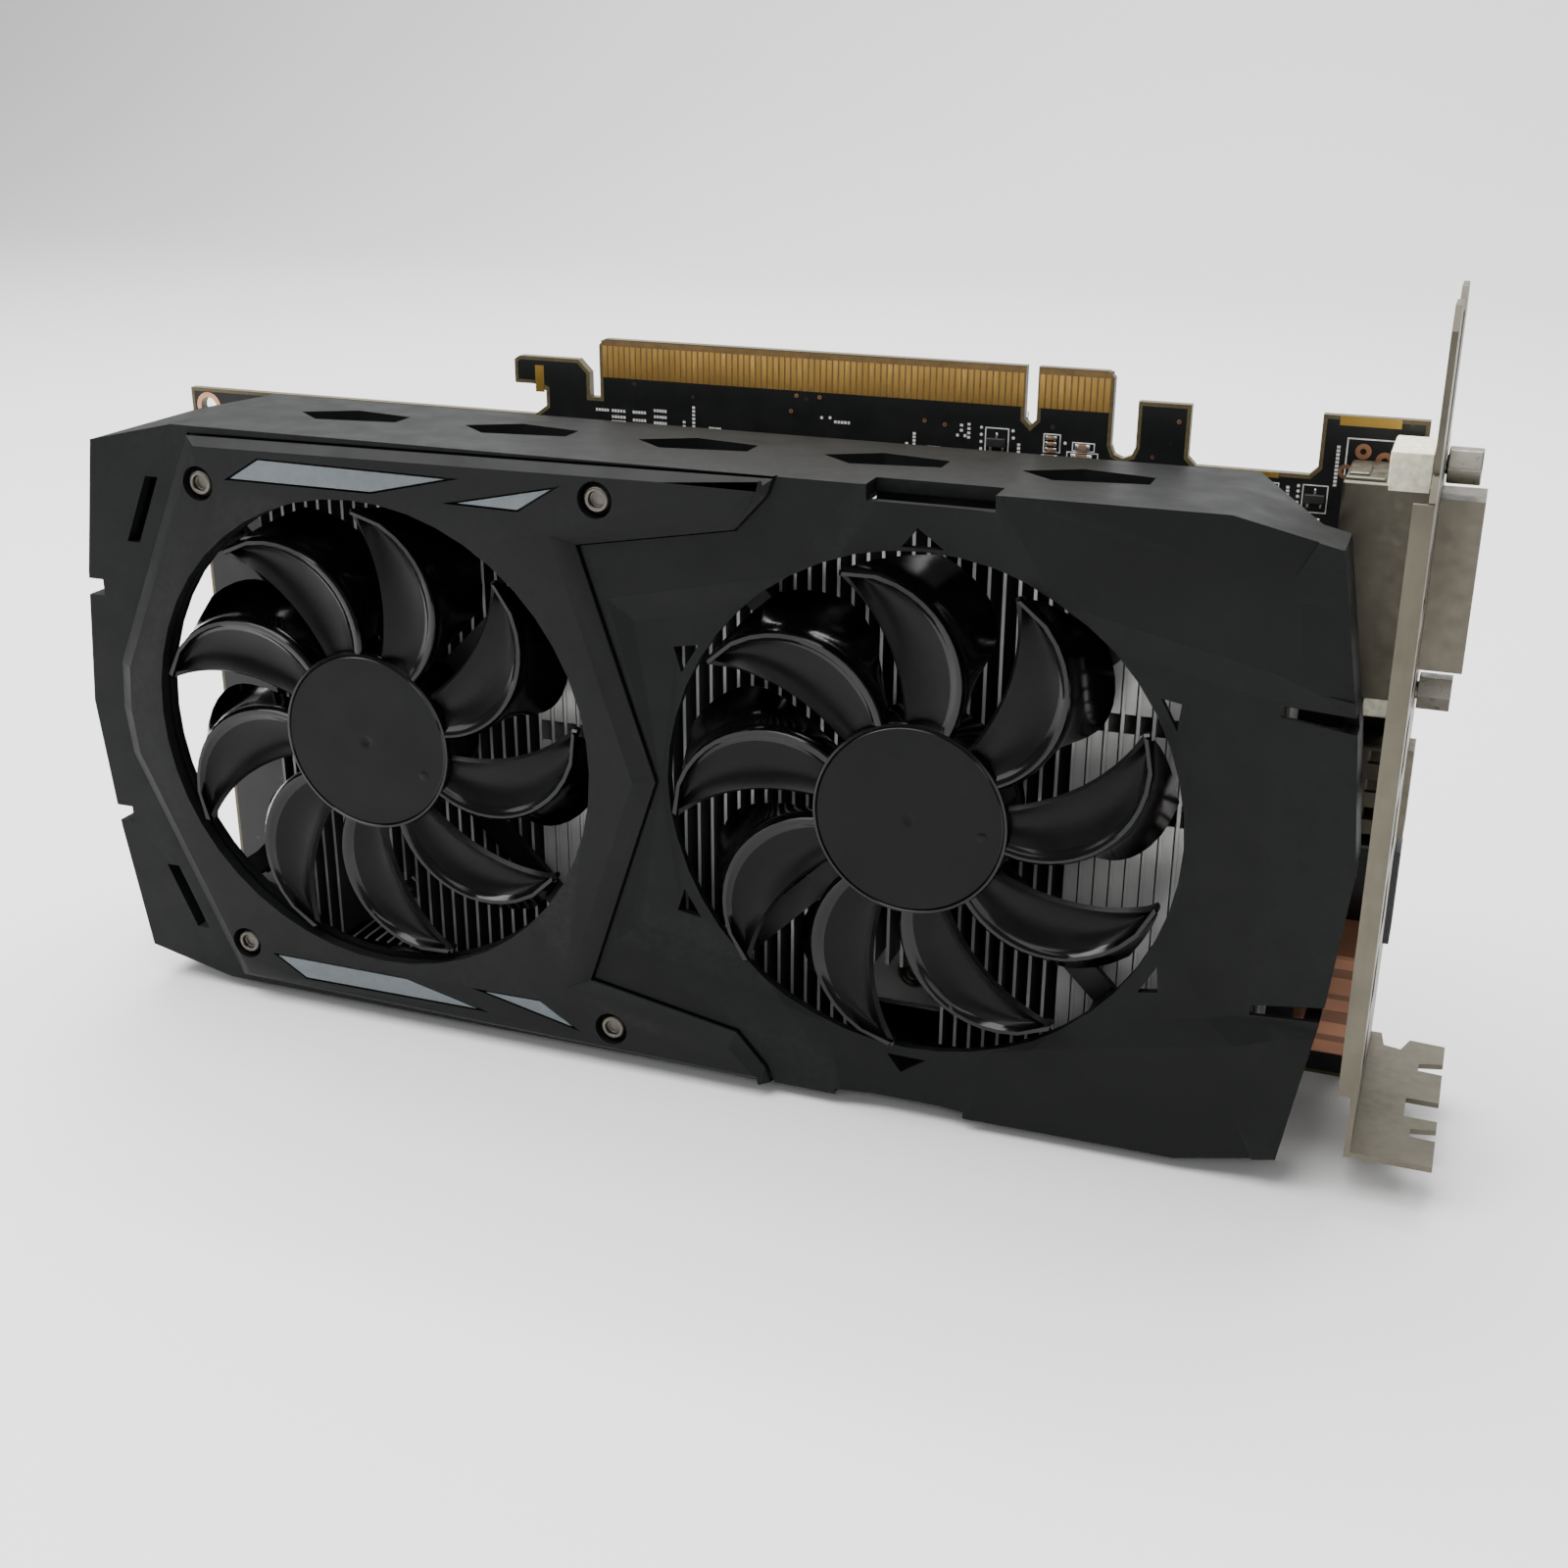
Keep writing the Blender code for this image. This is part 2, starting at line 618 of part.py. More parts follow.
def blade_section(radius):
    """Points across a blade as (angle, depth): leading edge, hollow, crest lip and trailing edge."""
    lead, crest, trail = blade_angles(radius)
    front = HUB_FRONT - 0.6 * MM
    back = front - BLADE_DEPTH
    shoulder = crest + 0.3 * (trail - crest)
    return [
        (lead, front - 0.6 * MM),
        ((lead + crest) / 2, front - 1.8 * MM),
        (crest, front),
        (shoulder, front - 0.45 * BLADE_DEPTH),
        (trail, back),
    ]


def blades_mesh(name, phase):
    """All blades of one fan as open sheets, in a frame whose z faces the front."""
    bm = bmesh.new()
    root = HUB_R - 0.6 * HUB_WALL
    radii = [root] + [HUB_R + share * (FAN_R - HUB_R) for share in (0.26, 0.55, 0.79, 0.94, 1)]
    for blade in range(BLADES):
        turn = phase + 2 * pi * blade / BLADES
        rows = []
        for radius in radii:
            section = blade_section(radius)
            rows.append([
                bm.verts.new((radius * sin(turn + angle), radius * cos(turn + angle), depth))
                for angle, depth in section
            ])
        for inner, outer in zip(rows, rows[1:]):
            for side in range(len(inner) - 1):
                bm.faces.new((inner[side], inner[side + 1], outer[side + 1], outer[side]))
    bmesh.ops.recalc_face_normals(bm, faces=bm.faces)
    return mesh_from(bm, name)


def build_fan(name, x):
    """A rotor with its shaft, and the motor and arms that carry it behind the shroud's opening."""
    skirt_back = HUB_FRONT - HUB_SKIRT
    inner_r = HUB_R - HUB_WALL
    hub_profile = [
        (0, HUB_FRONT),
        (HUB_R - 0.4 * MM, HUB_FRONT),
        (HUB_R, HUB_FRONT - 0.4 * MM),
        (HUB_R, skirt_back),
        (inner_r, skirt_back),
        (inner_r, HUB_FRONT - HUB_WALL),
        (SHAFT_R, HUB_FRONT - HUB_WALL),
        (SHAFT_R, HUB_FRONT - HUB_WALL - SHAFT_LENGTH),
        (0, HUB_FRONT - HUB_WALL - SHAFT_LENGTH),
    ]
    centre = (x, 0, FAN_Z)
    rotor = turned(f"{name}_rotor", hub_profile, False, centre, FAN_BLACK, 36)
    blades = add_object(
        f"{name}_blades", blades_mesh(f"{name}_blades", FAN_PHASES[name]), None, FACING_FRONT, centre
    )
    sheet = blades.modifiers.new("thickness", "SOLIDIFY")
    sheet.thickness = BLADE_T
    sheet.offset = 0
    join(rotor, blades)

    sleeve_front = HUB_FRONT - HUB_WALL - 1.0 * MM
    sleeve_r = SHAFT_R + 2.0 * MM
    coil_front = sleeve_front - 1.5 * MM
    base_r = HUB_R - 1.5 * MM
    bore = SHAFT_R + BEARING_GAP
    coil_r = inner_r - 2.5 * MM
    base_front = MOTOR_BACK + ARM_T
    motor_profile = [
        (bore, sleeve_front),
        (sleeve_r, sleeve_front),
        (sleeve_r, coil_front),
        (coil_r, coil_front),
        (coil_r, base_front),
        (base_r, base_front),
        (base_r, MOTOR_BACK),
        (bore, MOTOR_BACK),
    ]
    motor = turned(f"{name}_motor", motor_profile, True, centre, MOTOR_BLACK, 28)
    arm_end = FAN_OPENING_R + 4.5 * MM
    for arm in range(ARM_COUNT):
        turn = pi / 4 + 2 * pi * arm / ARM_COUNT
        strut = box(
            f"{name}_arm_{arm + 1}",
            (HUB_R - 4 * MM, -ARM_W / 2, MOTOR_BACK + POST_INSET / 2),
            (arm_end, ARM_W / 2, base_front - POST_INSET / 2),
            parent=rotor,
        )
        post = box(
            f"{name}_post_{arm + 1}",
            (arm_end - ARM_W, -0.4 * ARM_W, MOTOR_BACK + POST_INSET),
            (arm_end - POST_INSET, 0.4 * ARM_W, -SHROUD_FRONT - SHROUD_WALL - GAP),
            parent=rotor,
        )
        for piece in (strut, post):
            piece.rotation_euler.z = turn
            piece.location = rotated(piece.location, turn)
        join(motor, strut, post)


def rotated(place, turn):
    x, y, z = place
    return (x * cos(turn) - y * sin(turn), x * sin(turn) + y * cos(turn), z)


# ---------------------------------------------------------------- shroud, front plate and trim


def shroud_outline():
    """Clockwise front view: faceted left end, long straight top, chamfered right corners."""
    upper = [
        (SHROUD_LEFT, SHROUD_MIDDLE),
        (SHROUD_LEFT + 2.3 * MM, SHROUD_TOP - 26.0 * MM),
        (SHROUD_LEFT + 6.0 * MM, SHROUD_TOP - 3.6 * MM),
        (SHROUD_LEFT + 22.0 * MM, SHROUD_TOP),
        (SHROUD_RIGHT - 20.9 * MM, SHROUD_TOP),
        (SHROUD_RIGHT - 6.2 * MM, SHROUD_TOP - 3.3 * MM),
        (SHROUD_RIGHT - 1.9 * MM, SHROUD_TOP - 29.0 * MM),
        (SHROUD_RIGHT, SHROUD_MIDDLE),
    ]
    return upper + list(reversed(flipped(upper[1:-1])))


def triangle_cutouts():
    """Six small triangles round the right fan, above and below and on both sides."""
    x = FAN_XS["right_fan"]
    top = [
        (x - 3.2 * MM, SHROUD_TOP - 8.6 * MM),
        (x + 3.0 * MM, SHROUD_TOP - 8.5 * MM),
        (x - 0.9 * MM, SHROUD_TOP - 5.7 * MM),
    ]
    left = [
        (x - 38.2 * MM, SHROUD_TOP - 27.2 * MM),
        (x - 34.2 * MM, SHROUD_TOP - 26.5 * MM),
        (x - 37.0 * MM, SHROUD_TOP - 31.1 * MM),
    ]
    right = [
        (x + 34.5 * MM, SHROUD_TOP - 26.3 * MM),
        (x + 37.4 * MM, SHROUD_TOP - 26.8 * MM),
        (x + 37.0 * MM, SHROUD_TOP - 30.8 * MM),
    ]
    upper = [top, left, right]
    return upper + [flipped(outline) for outline in upper]


def edge_slots():
    """Two slots in from the right edge, and two slanted ones at the left end."""
    right = [
        (SHROUD_RIGHT - 12.1 * MM, SHROUD_TOP - 25.5 * MM),
        (SHROUD_RIGHT + THROUGH, SHROUD_TOP - 26.3 * MM),
        (SHROUD_RIGHT + THROUGH, SHROUD_TOP - 29.0 * MM),
        (SHROUD_RIGHT - 12.1 * MM, SHROUD_TOP - 27.1 * MM),
    ]
    left = [
        (SHROUD_LEFT + 16.0 * MM, SHROUD_TOP - 8.8 * MM),
        (SHROUD_LEFT + 18.4 * MM, SHROUD_TOP - 8.8 * MM),
        (SHROUD_LEFT + 13.4 * MM, SHROUD_TOP - 20.0 * MM),
        (SHROUD_LEFT + 11.0 * MM, SHROUD_TOP - 20.0 * MM),
    ]
    notch = rectangle(
        SHROUD_LEFT - THROUGH, SHROUD_TOP - 29.9 * MM, SHROUD_LEFT + 5.0 * MM, SHROUD_TOP - 27.1 * MM
    )
    upper = [right, left, notch]
    return upper + [flipped(outline) for outline in upper]


def vent_outline(number):
    """An arrow-ended slot in the top and bottom walls, as (x, y)."""
    x = VENT_FIRST + number * VENT_PITCH
    return [
        (x, SHROUD_FRONT + 16.7 * MM),
        (x + 0.43 * VENT_SPAN, SHROUD_FRONT + 21.0 * MM),
        (x + VENT_SPAN, SHROUD_FRONT + 19.1 * MM),
        (x + VENT_SPAN, SHROUD_FRONT + 14.4 * MM),
        (x + 0.29 * VENT_SPAN, SHROUD_FRONT + 12.2 * MM),
    ]


def build_shroud():
    """A deep tray, open at the back: front panel, long top and bottom walls, short end walls."""
    outline = shroud_outline()
    shroud = slab("shroud", [outline], -SHROUD_BACK, -SHROUD_FRONT, FACING_FRONT, SHROUD_BLACK)
    inside_front = -SHROUD_FRONT - SHROUD_WALL
    cavity = slab(
        "shroud_cavity", [inset(outline, SHROUD_WALL)], -SHROUD_BACK - THROUGH, inside_front, FACING_FRONT
    )
    cut(shroud, cavity)
    ends_high = SHROUD_TOP - 7.7 * MM
    ends_low = 2 * SHROUD_MIDDLE - ends_high
    right_end = box(
        "right_end_opening",
        (SHROUD_RIGHT - 15 * MM, RIGHT_WALL_BACK, ends_low),
        (SHROUD_RIGHT + THROUGH, SHROUD_BACK + THROUGH, ends_high),
    )
    left_end = box(
        "left_end_opening",
        (SHROUD_LEFT - THROUGH, SHROUD_FRONT + LEFT_WALL_DEPTH, ends_low),
        (SHROUD_LEFT + 15 * MM, SHROUD_BACK + THROUGH, ends_high),
    )
    corner = [
        (SHROUD_RIGHT - 22 * MM, SHROUD_BACK + THROUGH),
        (SHROUD_RIGHT + THROUGH, SHROUD_BACK + THROUGH),
        (SHROUD_RIGHT + THROUGH, RIGHT_WALL_BACK),
        (SHROUD_RIGHT - 10 * MM, RIGHT_WALL_BACK),
    ]
    bottom = 2 * SHROUD_MIDDLE - SHROUD_TOP
    rear_corner = slab(
        "rear_corner", [corner], bottom - THROUGH, SHROUD_TOP + THROUGH, FACING_UP
    )
    cut(shroud, right_end, left_end, rear_corner)
    front = -SHROUD_FRONT + THROUGH
    openings = [circle(x, FAN_Z, FAN_OPENING_R, 48) for x in FAN_XS.values()]
    windows = slab(
        "front_windows", openings + triangle_cutouts(), inside_front - THROUGH, front, FACING_FRONT
    )
    slots_back = -SHROUD_FRONT - 5 * MM
    slots = slab("front_slots", edge_slots(), slots_back, front, FACING_FRONT)
    vents = [vent_outline(number) for number in range(VENT_COUNT)]
    vent_tool = slab("wall_vents", vents, bottom - THROUGH, SHROUD_TOP + THROUGH, FACING_UP)
    screw_holes = slab(
        "plate_screw_holes",
        [circle(x, z, PLATE_SCREW_D / 2 + GAP, 16) for x, z in plate_screws()],
        inside_front - THROUGH,
        front,
        FACING_FRONT,
    )
    middle = FAN_XS["right_fan"]
    finger_slot = box(
        "finger_slot",
        (middle - 8.4 * MM, SHROUD_FRONT - THROUGH, SHROUD_TOP - 2.4 * MM),
        (middle + 10.2 * MM, -slots_back, SHROUD_TOP + THROUGH),
    )
    lower_step = box(
        "lower_step",
        (middle - 11.4 * MM, SHROUD_FRONT - THROUGH, bottom - THROUGH),
        (middle + 9.4 * MM, -slots_back, bottom + 1.0 * MM),
    )
    cut(shroud, windows, slots, vent_tool, screw_holes, finger_slot, lower_step)


def plate_outline():
    """Clockwise outline of the raised plate: slanted left side, stepped seam on the right."""
    upper = [
        (SHROUD_LEFT + 6.7 * MM, SHROUD_MIDDLE),
        (SHROUD_LEFT + 7.5 * MM, SHROUD_TOP - 40.7 * MM),
        (SHROUD_LEFT + 25.3 * MM, SHROUD_TOP - 1.4 * MM),
        (PLATE_SEAM_X + 19.0 * MM, SHROUD_TOP - 0.3 * MM),
        (PLATE_SEAM_X + 18.1 * MM, SHROUD_TOP - 2.7 * MM),
        (PLATE_SEAM_X + 13.2 * MM, SHROUD_TOP - 8.1 * MM),
        (PLATE_SEAM_X - 12.2 * MM, SHROUD_TOP - 12.7 * MM),
        (PLATE_SEAM_X, SHROUD_MIDDLE),
    ]
    return upper + list(reversed(flipped(upper[1:-1])))


def plate_screws():
    upper = [
        (SHROUD_LEFT + 27.7 * MM, SHROUD_TOP - 8.6 * MM),
        (FAN_XS["left_fan"] + 41.8 * MM, SHROUD_TOP - 5.3 * MM),
    ]
    return upper + flipped(upper)


def inlays():
    """The two stripes above the left fan: a long one, and a short one right of it."""
    x = FAN_XS["left_fan"]
    long = [
        (x - 22.4 * MM, SHROUD_TOP - 7.6 * MM),
        (x - 16.0 * MM, SHROUD_TOP - 3.7 * MM),
        (x + 19.6 * MM, SHROUD_TOP - 4.0 * MM),
        (x + 4.0 * MM, SHROUD_TOP - 7.6 * MM),
    ]
    short = [
        (x + 16.3 * MM, SHROUD_TOP - 8.0 * MM),
        (x + 36.3 * MM, SHROUD_TOP - 3.7 * MM),
        (x + 29.1 * MM, SHROUD_TOP - 8.2 * MM),
    ]
    return {"long": long, "short": short}


def build_front_plate():
    """The raised plate over the shroud's left part, four let-in stripes and four socket screws."""
    back = -SHROUD_FRONT + GAP
    front = back + PLATE_T
    head_r = PLATE_SCREW_HEAD_D / 2
    holes = [circle(x, z, head_r + GAP, 20) for x, z in plate_screws()]
    opening = circle(FAN_XS["left_fan"], FAN_Z, FAN_OPENING_R + 0.1 * MM, 48)
    plate = slab("front_plate", [plate_outline(), opening, *holes], back, front, FACING_FRONT, PLATE_BLACK)
    pockets = []
    for name, upper in inlays().items():
        for place, outline in (("top", upper), ("bottom", list(reversed(flipped(upper))))):
            pockets.append(outline)
            seat = front - PLATE_POCKET + GAP
            slab(
                f"stripe_{place}_{name}",
                [inset(outline, GAP)],
                seat,
                seat + INLAY_T,
                FACING_FRONT,
                INLAY_GREY,
            )
    tool = slab("stripe_pockets", pockets, front - PLATE_POCKET, front + THROUGH, FACING_FRONT)
    cut(plate, tool)
    for number, (x, z) in enumerate(plate_screws(), 1):
        cap_screw(
            f"plate_screw_{number}",
            x,
            z,
            back,
            head_r,
            PLATE_SCREW_HEAD_T,
            PLATE_SCREW_D / 2,
            PLATE_SCREW_LENGTH,
        )


# ---------------------------------------------------------------- bracket and connectors


def build_port(name, length, heights, depth, shell, look):
    """A connector on the board with its shell through the bracket, and the cutter for its window."""
    top, bottom = heights
    above, below, thickness, reach = shell
    shell_top, shell_bottom = top - above, bottom + below
    outer_x = BRACKET_OUTER + reach
    body = box(name, (BRACKET_X - length, -depth, bottom), (BRACKET_X - GAP, -GAP, top), look, 0.3 * MM)
    middle = -(GAP + depth) / 2
    near, far = middle - thickness / 2, middle + thickness / 2
    sleeve = box(f"{name}_shell", (BRACKET_X - 3 * MM, near, shell_bottom), (outer_x, far, shell_top))
    join(body, sleeve)
    mouth = box(
        f"{name}_mouth",
        (BRACKET_X - 4.5 * MM, near + SHELL_WALL, shell_bottom + SHELL_WALL),
        (outer_x + THROUGH, far - SHELL_WALL, shell_top - SHELL_WALL),
    )
    cut(body, mouth)
    clearance = box(
        f"{name}_window",
        (BRACKET_X - THROUGH, near - GAP, shell_bottom - GAP),
        (outer_x, far + GAP, shell_top + GAP),
    )
    return body, clearance


def bracket_outline():
    """Plate as (y, z): body with two tongues above and the slot tab's root below."""
    shoulder = BRACKET_SHOULDER
    half = TONGUE_W / 2
    first = BRACKET_BACK - 9.2 * MM
    points = [
        (BRACKET_NEAR, BRACKET_BOTTOM),
        (BRACKET_NEAR, shoulder - 3 * MM),
        (BRACKET_NEAR + 2 * MM, shoulder),
    ]
    for middle in (first - TONGUE_PITCH, first):
        points += [
            (middle - half, shoulder),
            (middle - half + 1 * MM, BRACKET_TOP - 3 * MM),
            (middle - half + 3 * MM, BRACKET_TOP),
            (middle + half - 3 * MM, BRACKET_TOP),
            (middle + half - 1 * MM, BRACKET_TOP - 3 * MM),
            (middle + half, shoulder),
        ]
    return points + [(BRACKET_BACK, shoulder - 2 * MM), (BRACKET_BACK, BRACKET_BOTTOM)]


def build_bracket(windows):
    """Steel plate with a stiffening flange, a slotted screw tab and a lug behind the board."""
    bracket = slab("bracket", [bracket_outline()], BRACKET_X, BRACKET_OUTER, FACING_BRACKET, STEEL)
    flange_near = BRACKET_NEAR - 0.5 * MM
    flange = box(
        "bracket_flange",
        (BRACKET_OUTER - FLANGE_W, flange_near, BRACKET_BOTTOM + 10 * MM),
        (BRACKET_OUTER - BRACKET_LAP, flange_near + BRACKET_T, BRACKET_SHOULDER - 3.2 * MM),
    )
    lug_x, lug_z = BRACKET_SCREW
    lug = box(
        "bracket_lug",
        (lug_x - 4 * MM, BOARD_T + GAP, lug_z - 2.6 * MM),
        (BRACKET_OUTER - 2 * BRACKET_LAP, BRACKET_BACK + 0.25 * MM, lug_z + 4 * MM),
    )
    tab = slab("bracket_tab", [tab_outline()], BRACKET_BOTTOM, BRACKET_BOTTOM + BRACKET_T, FACING_UP)
    join(bracket, flange, tab, lug)
    place = (lug_x, BRACKET_BACK, lug_z)
    cut(bracket, cylinder("lug_hole", SCREW_HOLE_R, 8 * MM, FACING_FRONT, place, segments=16), *windows)
    for side, z in JACKSCREW_ZS.items():
        place = (BRACKET_OUTER, JACKSCREW_Y, z)
        cut(bracket, cylinder(f"jackscrew_{side}_hole", SCREW_HOLE_R, 5 * MM, ALONG_X, place))
    vent_w, vent_h = BRACKET_VENT_SIZE
    vent_near = BRACKET_NEAR + 6 * MM
    for row in range(BRACKET_VENTS):
        top = BRACKET_SHOULDER - 11.1 * MM - row * BRACKET_VENT_PITCH
        vent = box(
            f"bracket_vent_{row + 1}",
            (BRACKET_X - THROUGH, vent_near, top - vent_h),
            (BRACKET_OUTER + THROUGH, vent_near + vent_w, top),
        )
        cut(bracket, vent)


def tab_outline():
    """Screw tab as (x, y): a wide notch, two side slots and a central hole open to its outer edge."""
    root = BRACKET_X + BRACKET_LAP
    edge = BRACKET_OUTER + TAB_LENGTH
    near = BRACKET_NEAR + BRACKET_LAP
    far = BRACKET_BACK - BRACKET_LAP
    slot = 3.6 * MM
    return [
        (root, near),
        (root, far),
        (root + 2.4 * MM, far),
        (root + 3.0 * MM, far - 4.0 * MM),
        (root + 5.6 * MM, far - 4.6 * MM),
        (root + 6.8 * MM, far - 1.0 * MM),
        (edge, far - 1.4 * MM),
        (edge, far - 7.4 * MM),
        (edge - slot, far - 8.4 * MM),
        (edge - slot, far - 10.6 * MM),
        (edge, far - 10.9 * MM),
        (edge, far - 19.8 * MM),
        (edge - 4.8 * MM, far - 19.8 * MM),
        (edge - 4.8 * MM, far - 25.4 * MM),
        (edge, far - 25.4 * MM),
        (edge, far - 28.0 * MM),
        (edge - slot, far - 28.8 * MM),
        (edge - slot, far - 31.0 * MM),
        (edge, far - 31.2 * MM),
        (edge, near),
    ]


def build_connectors():
    dvi, dvi_window = build_port("dvi_connector", DVI_LENGTH, DVI_Z, DVI_DEPTH, DVI_SHELL, STEEL)
    _, hdmi_window = build_port("hdmi_connector", SMALL_PORT_LENGTH, HDMI_Z, HDMI_DEPTH, HDMI_SHELL, STEEL)
    _, display_window = build_port(
        "displayport_connector",
        SMALL_PORT_LENGTH,
        DISPLAYPORT_Z,
        DISPLAYPORT_DEPTH,
        DISPLAYPORT_SHELL,
        SOCKET_BLACK,
    )
    shield_top, shield_bottom = PORT_SHIELD_Z
    box(
        "copper_port_shield",
        (BRACKET_X - PORT_SHIELD_LENGTH, RIGHT_WALL_BACK + 6 * MM, shield_bottom),
        (BRACKET_X - GAP, -DISPLAYPORT_DEPTH - 0.5 * MM, shield_top),
        PORT_COPPER,
        0.3 * MM,
    )
    build_bracket([dvi_window, hdmi_window, display_window])
    for side, z in JACKSCREW_ZS.items():
        bore_place = (BRACKET_X, JACKSCREW_Y, z)
        cut(dvi, cylinder(f"jackscrew_{side}_bore", SCREW_HOLE_R, 9 * MM, ALONG_X, bore_place))
        head_place = (BRACKET_OUTER + GAP + JACKSCREW_HEAD_T / 2, JACKSCREW_Y, z)
        hexagon = cylinder(
            f"jackscrew_{side}", JACKSCREW_HEAD_R, JACKSCREW_HEAD_T, ALONG_X, head_place, SCREW_STEEL, 6
        )
        place = (BRACKET_OUTER - 1.0 * MM, JACKSCREW_Y, z)
        shank_r = SCREW_HOLE_R - GAP
        join(hexagon, cylinder(f"jackscrew_{side}_shank", shank_r, 6 * MM, ALONG_X, place, segments=16))
    x, z = BRACKET_SCREW
    cap_screw("bracket_screw", x, z, GAP, 2.9 * MM, 1.7 * MM, SCREW_HOLE_R - GAP, 3.0 * MM)


build_board()
build_chips()
build_power_stage()
build_fins()
build_heat_pipes()
build_cooler_base()
for fan_name, fan_x in FAN_XS.items():
    build_fan(fan_name, fan_x)
build_shroud()
build_front_plate()
build_connectors()
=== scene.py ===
"""Looks of the twin-fan graphics card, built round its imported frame."""

import random
from math import acos, cos, pi, radians, sin

import bmesh
import bpy
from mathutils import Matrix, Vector


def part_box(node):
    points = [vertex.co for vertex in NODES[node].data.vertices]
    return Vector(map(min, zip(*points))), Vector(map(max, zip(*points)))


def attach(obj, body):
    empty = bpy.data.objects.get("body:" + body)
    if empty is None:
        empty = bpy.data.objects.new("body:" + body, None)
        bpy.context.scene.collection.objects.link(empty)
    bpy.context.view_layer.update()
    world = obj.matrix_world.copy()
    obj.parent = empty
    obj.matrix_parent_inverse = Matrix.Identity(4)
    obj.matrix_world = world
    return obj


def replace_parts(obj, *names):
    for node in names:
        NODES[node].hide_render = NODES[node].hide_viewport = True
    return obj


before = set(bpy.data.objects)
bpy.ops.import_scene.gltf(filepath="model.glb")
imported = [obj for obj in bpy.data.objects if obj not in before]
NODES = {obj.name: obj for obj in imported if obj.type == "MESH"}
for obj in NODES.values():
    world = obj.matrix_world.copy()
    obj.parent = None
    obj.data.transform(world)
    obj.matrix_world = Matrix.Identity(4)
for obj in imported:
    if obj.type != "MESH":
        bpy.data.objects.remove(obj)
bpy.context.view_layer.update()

MM = 0.001
BOARD_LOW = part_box("printed_circuit_board")[0]

# The datum is the key notch of the edge connector, on the board's component face. Depths run forwards.
DATUM = Vector((BOARD_LOW.x + 154 * MM, BOARD_LOW.y, BOARD_LOW.z + 111.3 * MM))
MIDDLE = -60.2 * MM                 # height about which the shroud is symmetric
FACE = 38.0 * MM                    # depth of the shroud's front face
PLATE = 40.2 * MM                   # depth of the raised plate's face
FANS = {"left_fan": (-96.5 * MM, radians(38.5)), "right_fan": (-5.6 * MM, radians(21.0))}
FAN_Z = -59.6 * MM


def at(x, depth, z):
    return DATUM + Vector((x, -depth, z))


# ---------------------------------------------------------------- materials


class Nodes:
    """A material's node tree, with short calls to add and join nodes."""

    def __init__(self, name):
        self.material = bpy.data.materials.new(name)
        self.material.use_nodes = True
        self.tree = self.material.node_tree
        self.shader = self.tree.nodes["Principled BSDF"]
        self.place = self.add("ShaderNodeTexCoord").outputs["Object"]

    def add(self, kind, inputs=None, **settings):
        node = self.tree.nodes.new(kind)
        for key, value in settings.items():
            setattr(node, key, value)
        for key, value in (inputs or {}).items():
            if isinstance(value, bpy.types.NodeSocket):
                self.tree.links.new(value, node.inputs[key])
            else:
                node.inputs[key].default_value = value
        return node

    def noise(self, scale, detail=3.0, rough=0.5, stretch=(1, 1, 1)):
        mapped = self.add("ShaderNodeMapping", {"Vector": self.place, "Scale": stretch})
        texture = self.add(
            "ShaderNodeTexNoise",
            {"Vector": mapped.outputs[0], "Scale": scale, "Detail": detail, "Roughness": rough},
        )
        return texture.outputs["Fac"]

    def ramp(self, factor, low, high, start=0.3, end=0.7):
        node = self.add("ShaderNodeValToRGB", {"Fac": factor})
        node.color_ramp.elements[0].position = start
        node.color_ramp.elements[1].position = end
        node.color_ramp.elements[0].color = (*low, 1)
        node.color_ramp.elements[1].color = (*high, 1)
        return node.outputs["Color"]

    def span(self, factor, low, high, start=0.3, end=0.7):
        node = self.add(
            "ShaderNodeMapRange",
            {"Value": factor, "From Min": start, "From Max": end, "To Min": low, "To Max": high},
        )
        return node.outputs["Result"]

    def worn(self, colour, edge_colour, amount):
        """Lightens convex edges, broken up by noise."""
        edge = self.add("ShaderNodeNewGeometry").outputs["Pointiness"]
        sharp = self.span(edge, 0.0, amount, 0.51, 0.6)
        broken = self.add(
            "ShaderNodeMath", {0: sharp, 1: self.span(self.noise(900), 0.2, 1.0)}, operation="MULTIPLY"
        )
        inputs = {"Factor": broken.outputs[0], "A": colour, "B": (*edge_colour, 1)}
        return self.add("ShaderNodeMix", inputs, data_type="RGBA").outputs["Result"]

    def bump(self, height, distance):
        inputs = {"Height": height, "Distance": distance, "Strength": 1.0}
        return self.add("ShaderNodeBump", inputs).outputs["Normal"]

    def finish(self, **sockets):
        for key, value in sockets.items():
            socket = self.shader.inputs[key.replace("_", " ")]
            if isinstance(value, bpy.types.NodeSocket):
                self.tree.links.new(value, socket)
            else:
                socket.default_value = value
        return self.material


def tint(colour, factor):
    return tuple(channel * factor for channel in colour)


def moulded(name, colour, rough, grain=2600, bump=0.012 * MM, sheen=0.5):
    """Spark-eroded plastic: fine grain in height, faint cloudy tone, scuffed edges."""
    m = Nodes(name)
    cloud = m.noise(45, 4)
    base = m.ramp(cloud, tint(colour, 0.88), tint(colour, 1.12))
    speck = m.noise(grain, 2, 0.6)
    return m.finish(
        Base_Color=m.worn(base, tint(colour, 2.6), 0.5),
        Roughness=m.span(m.noise(160, 5), rough - 0.06, rough + 0.08),
        Normal=m.bump(speck, bump),
        Specular_IOR_Level=sheen,
    )


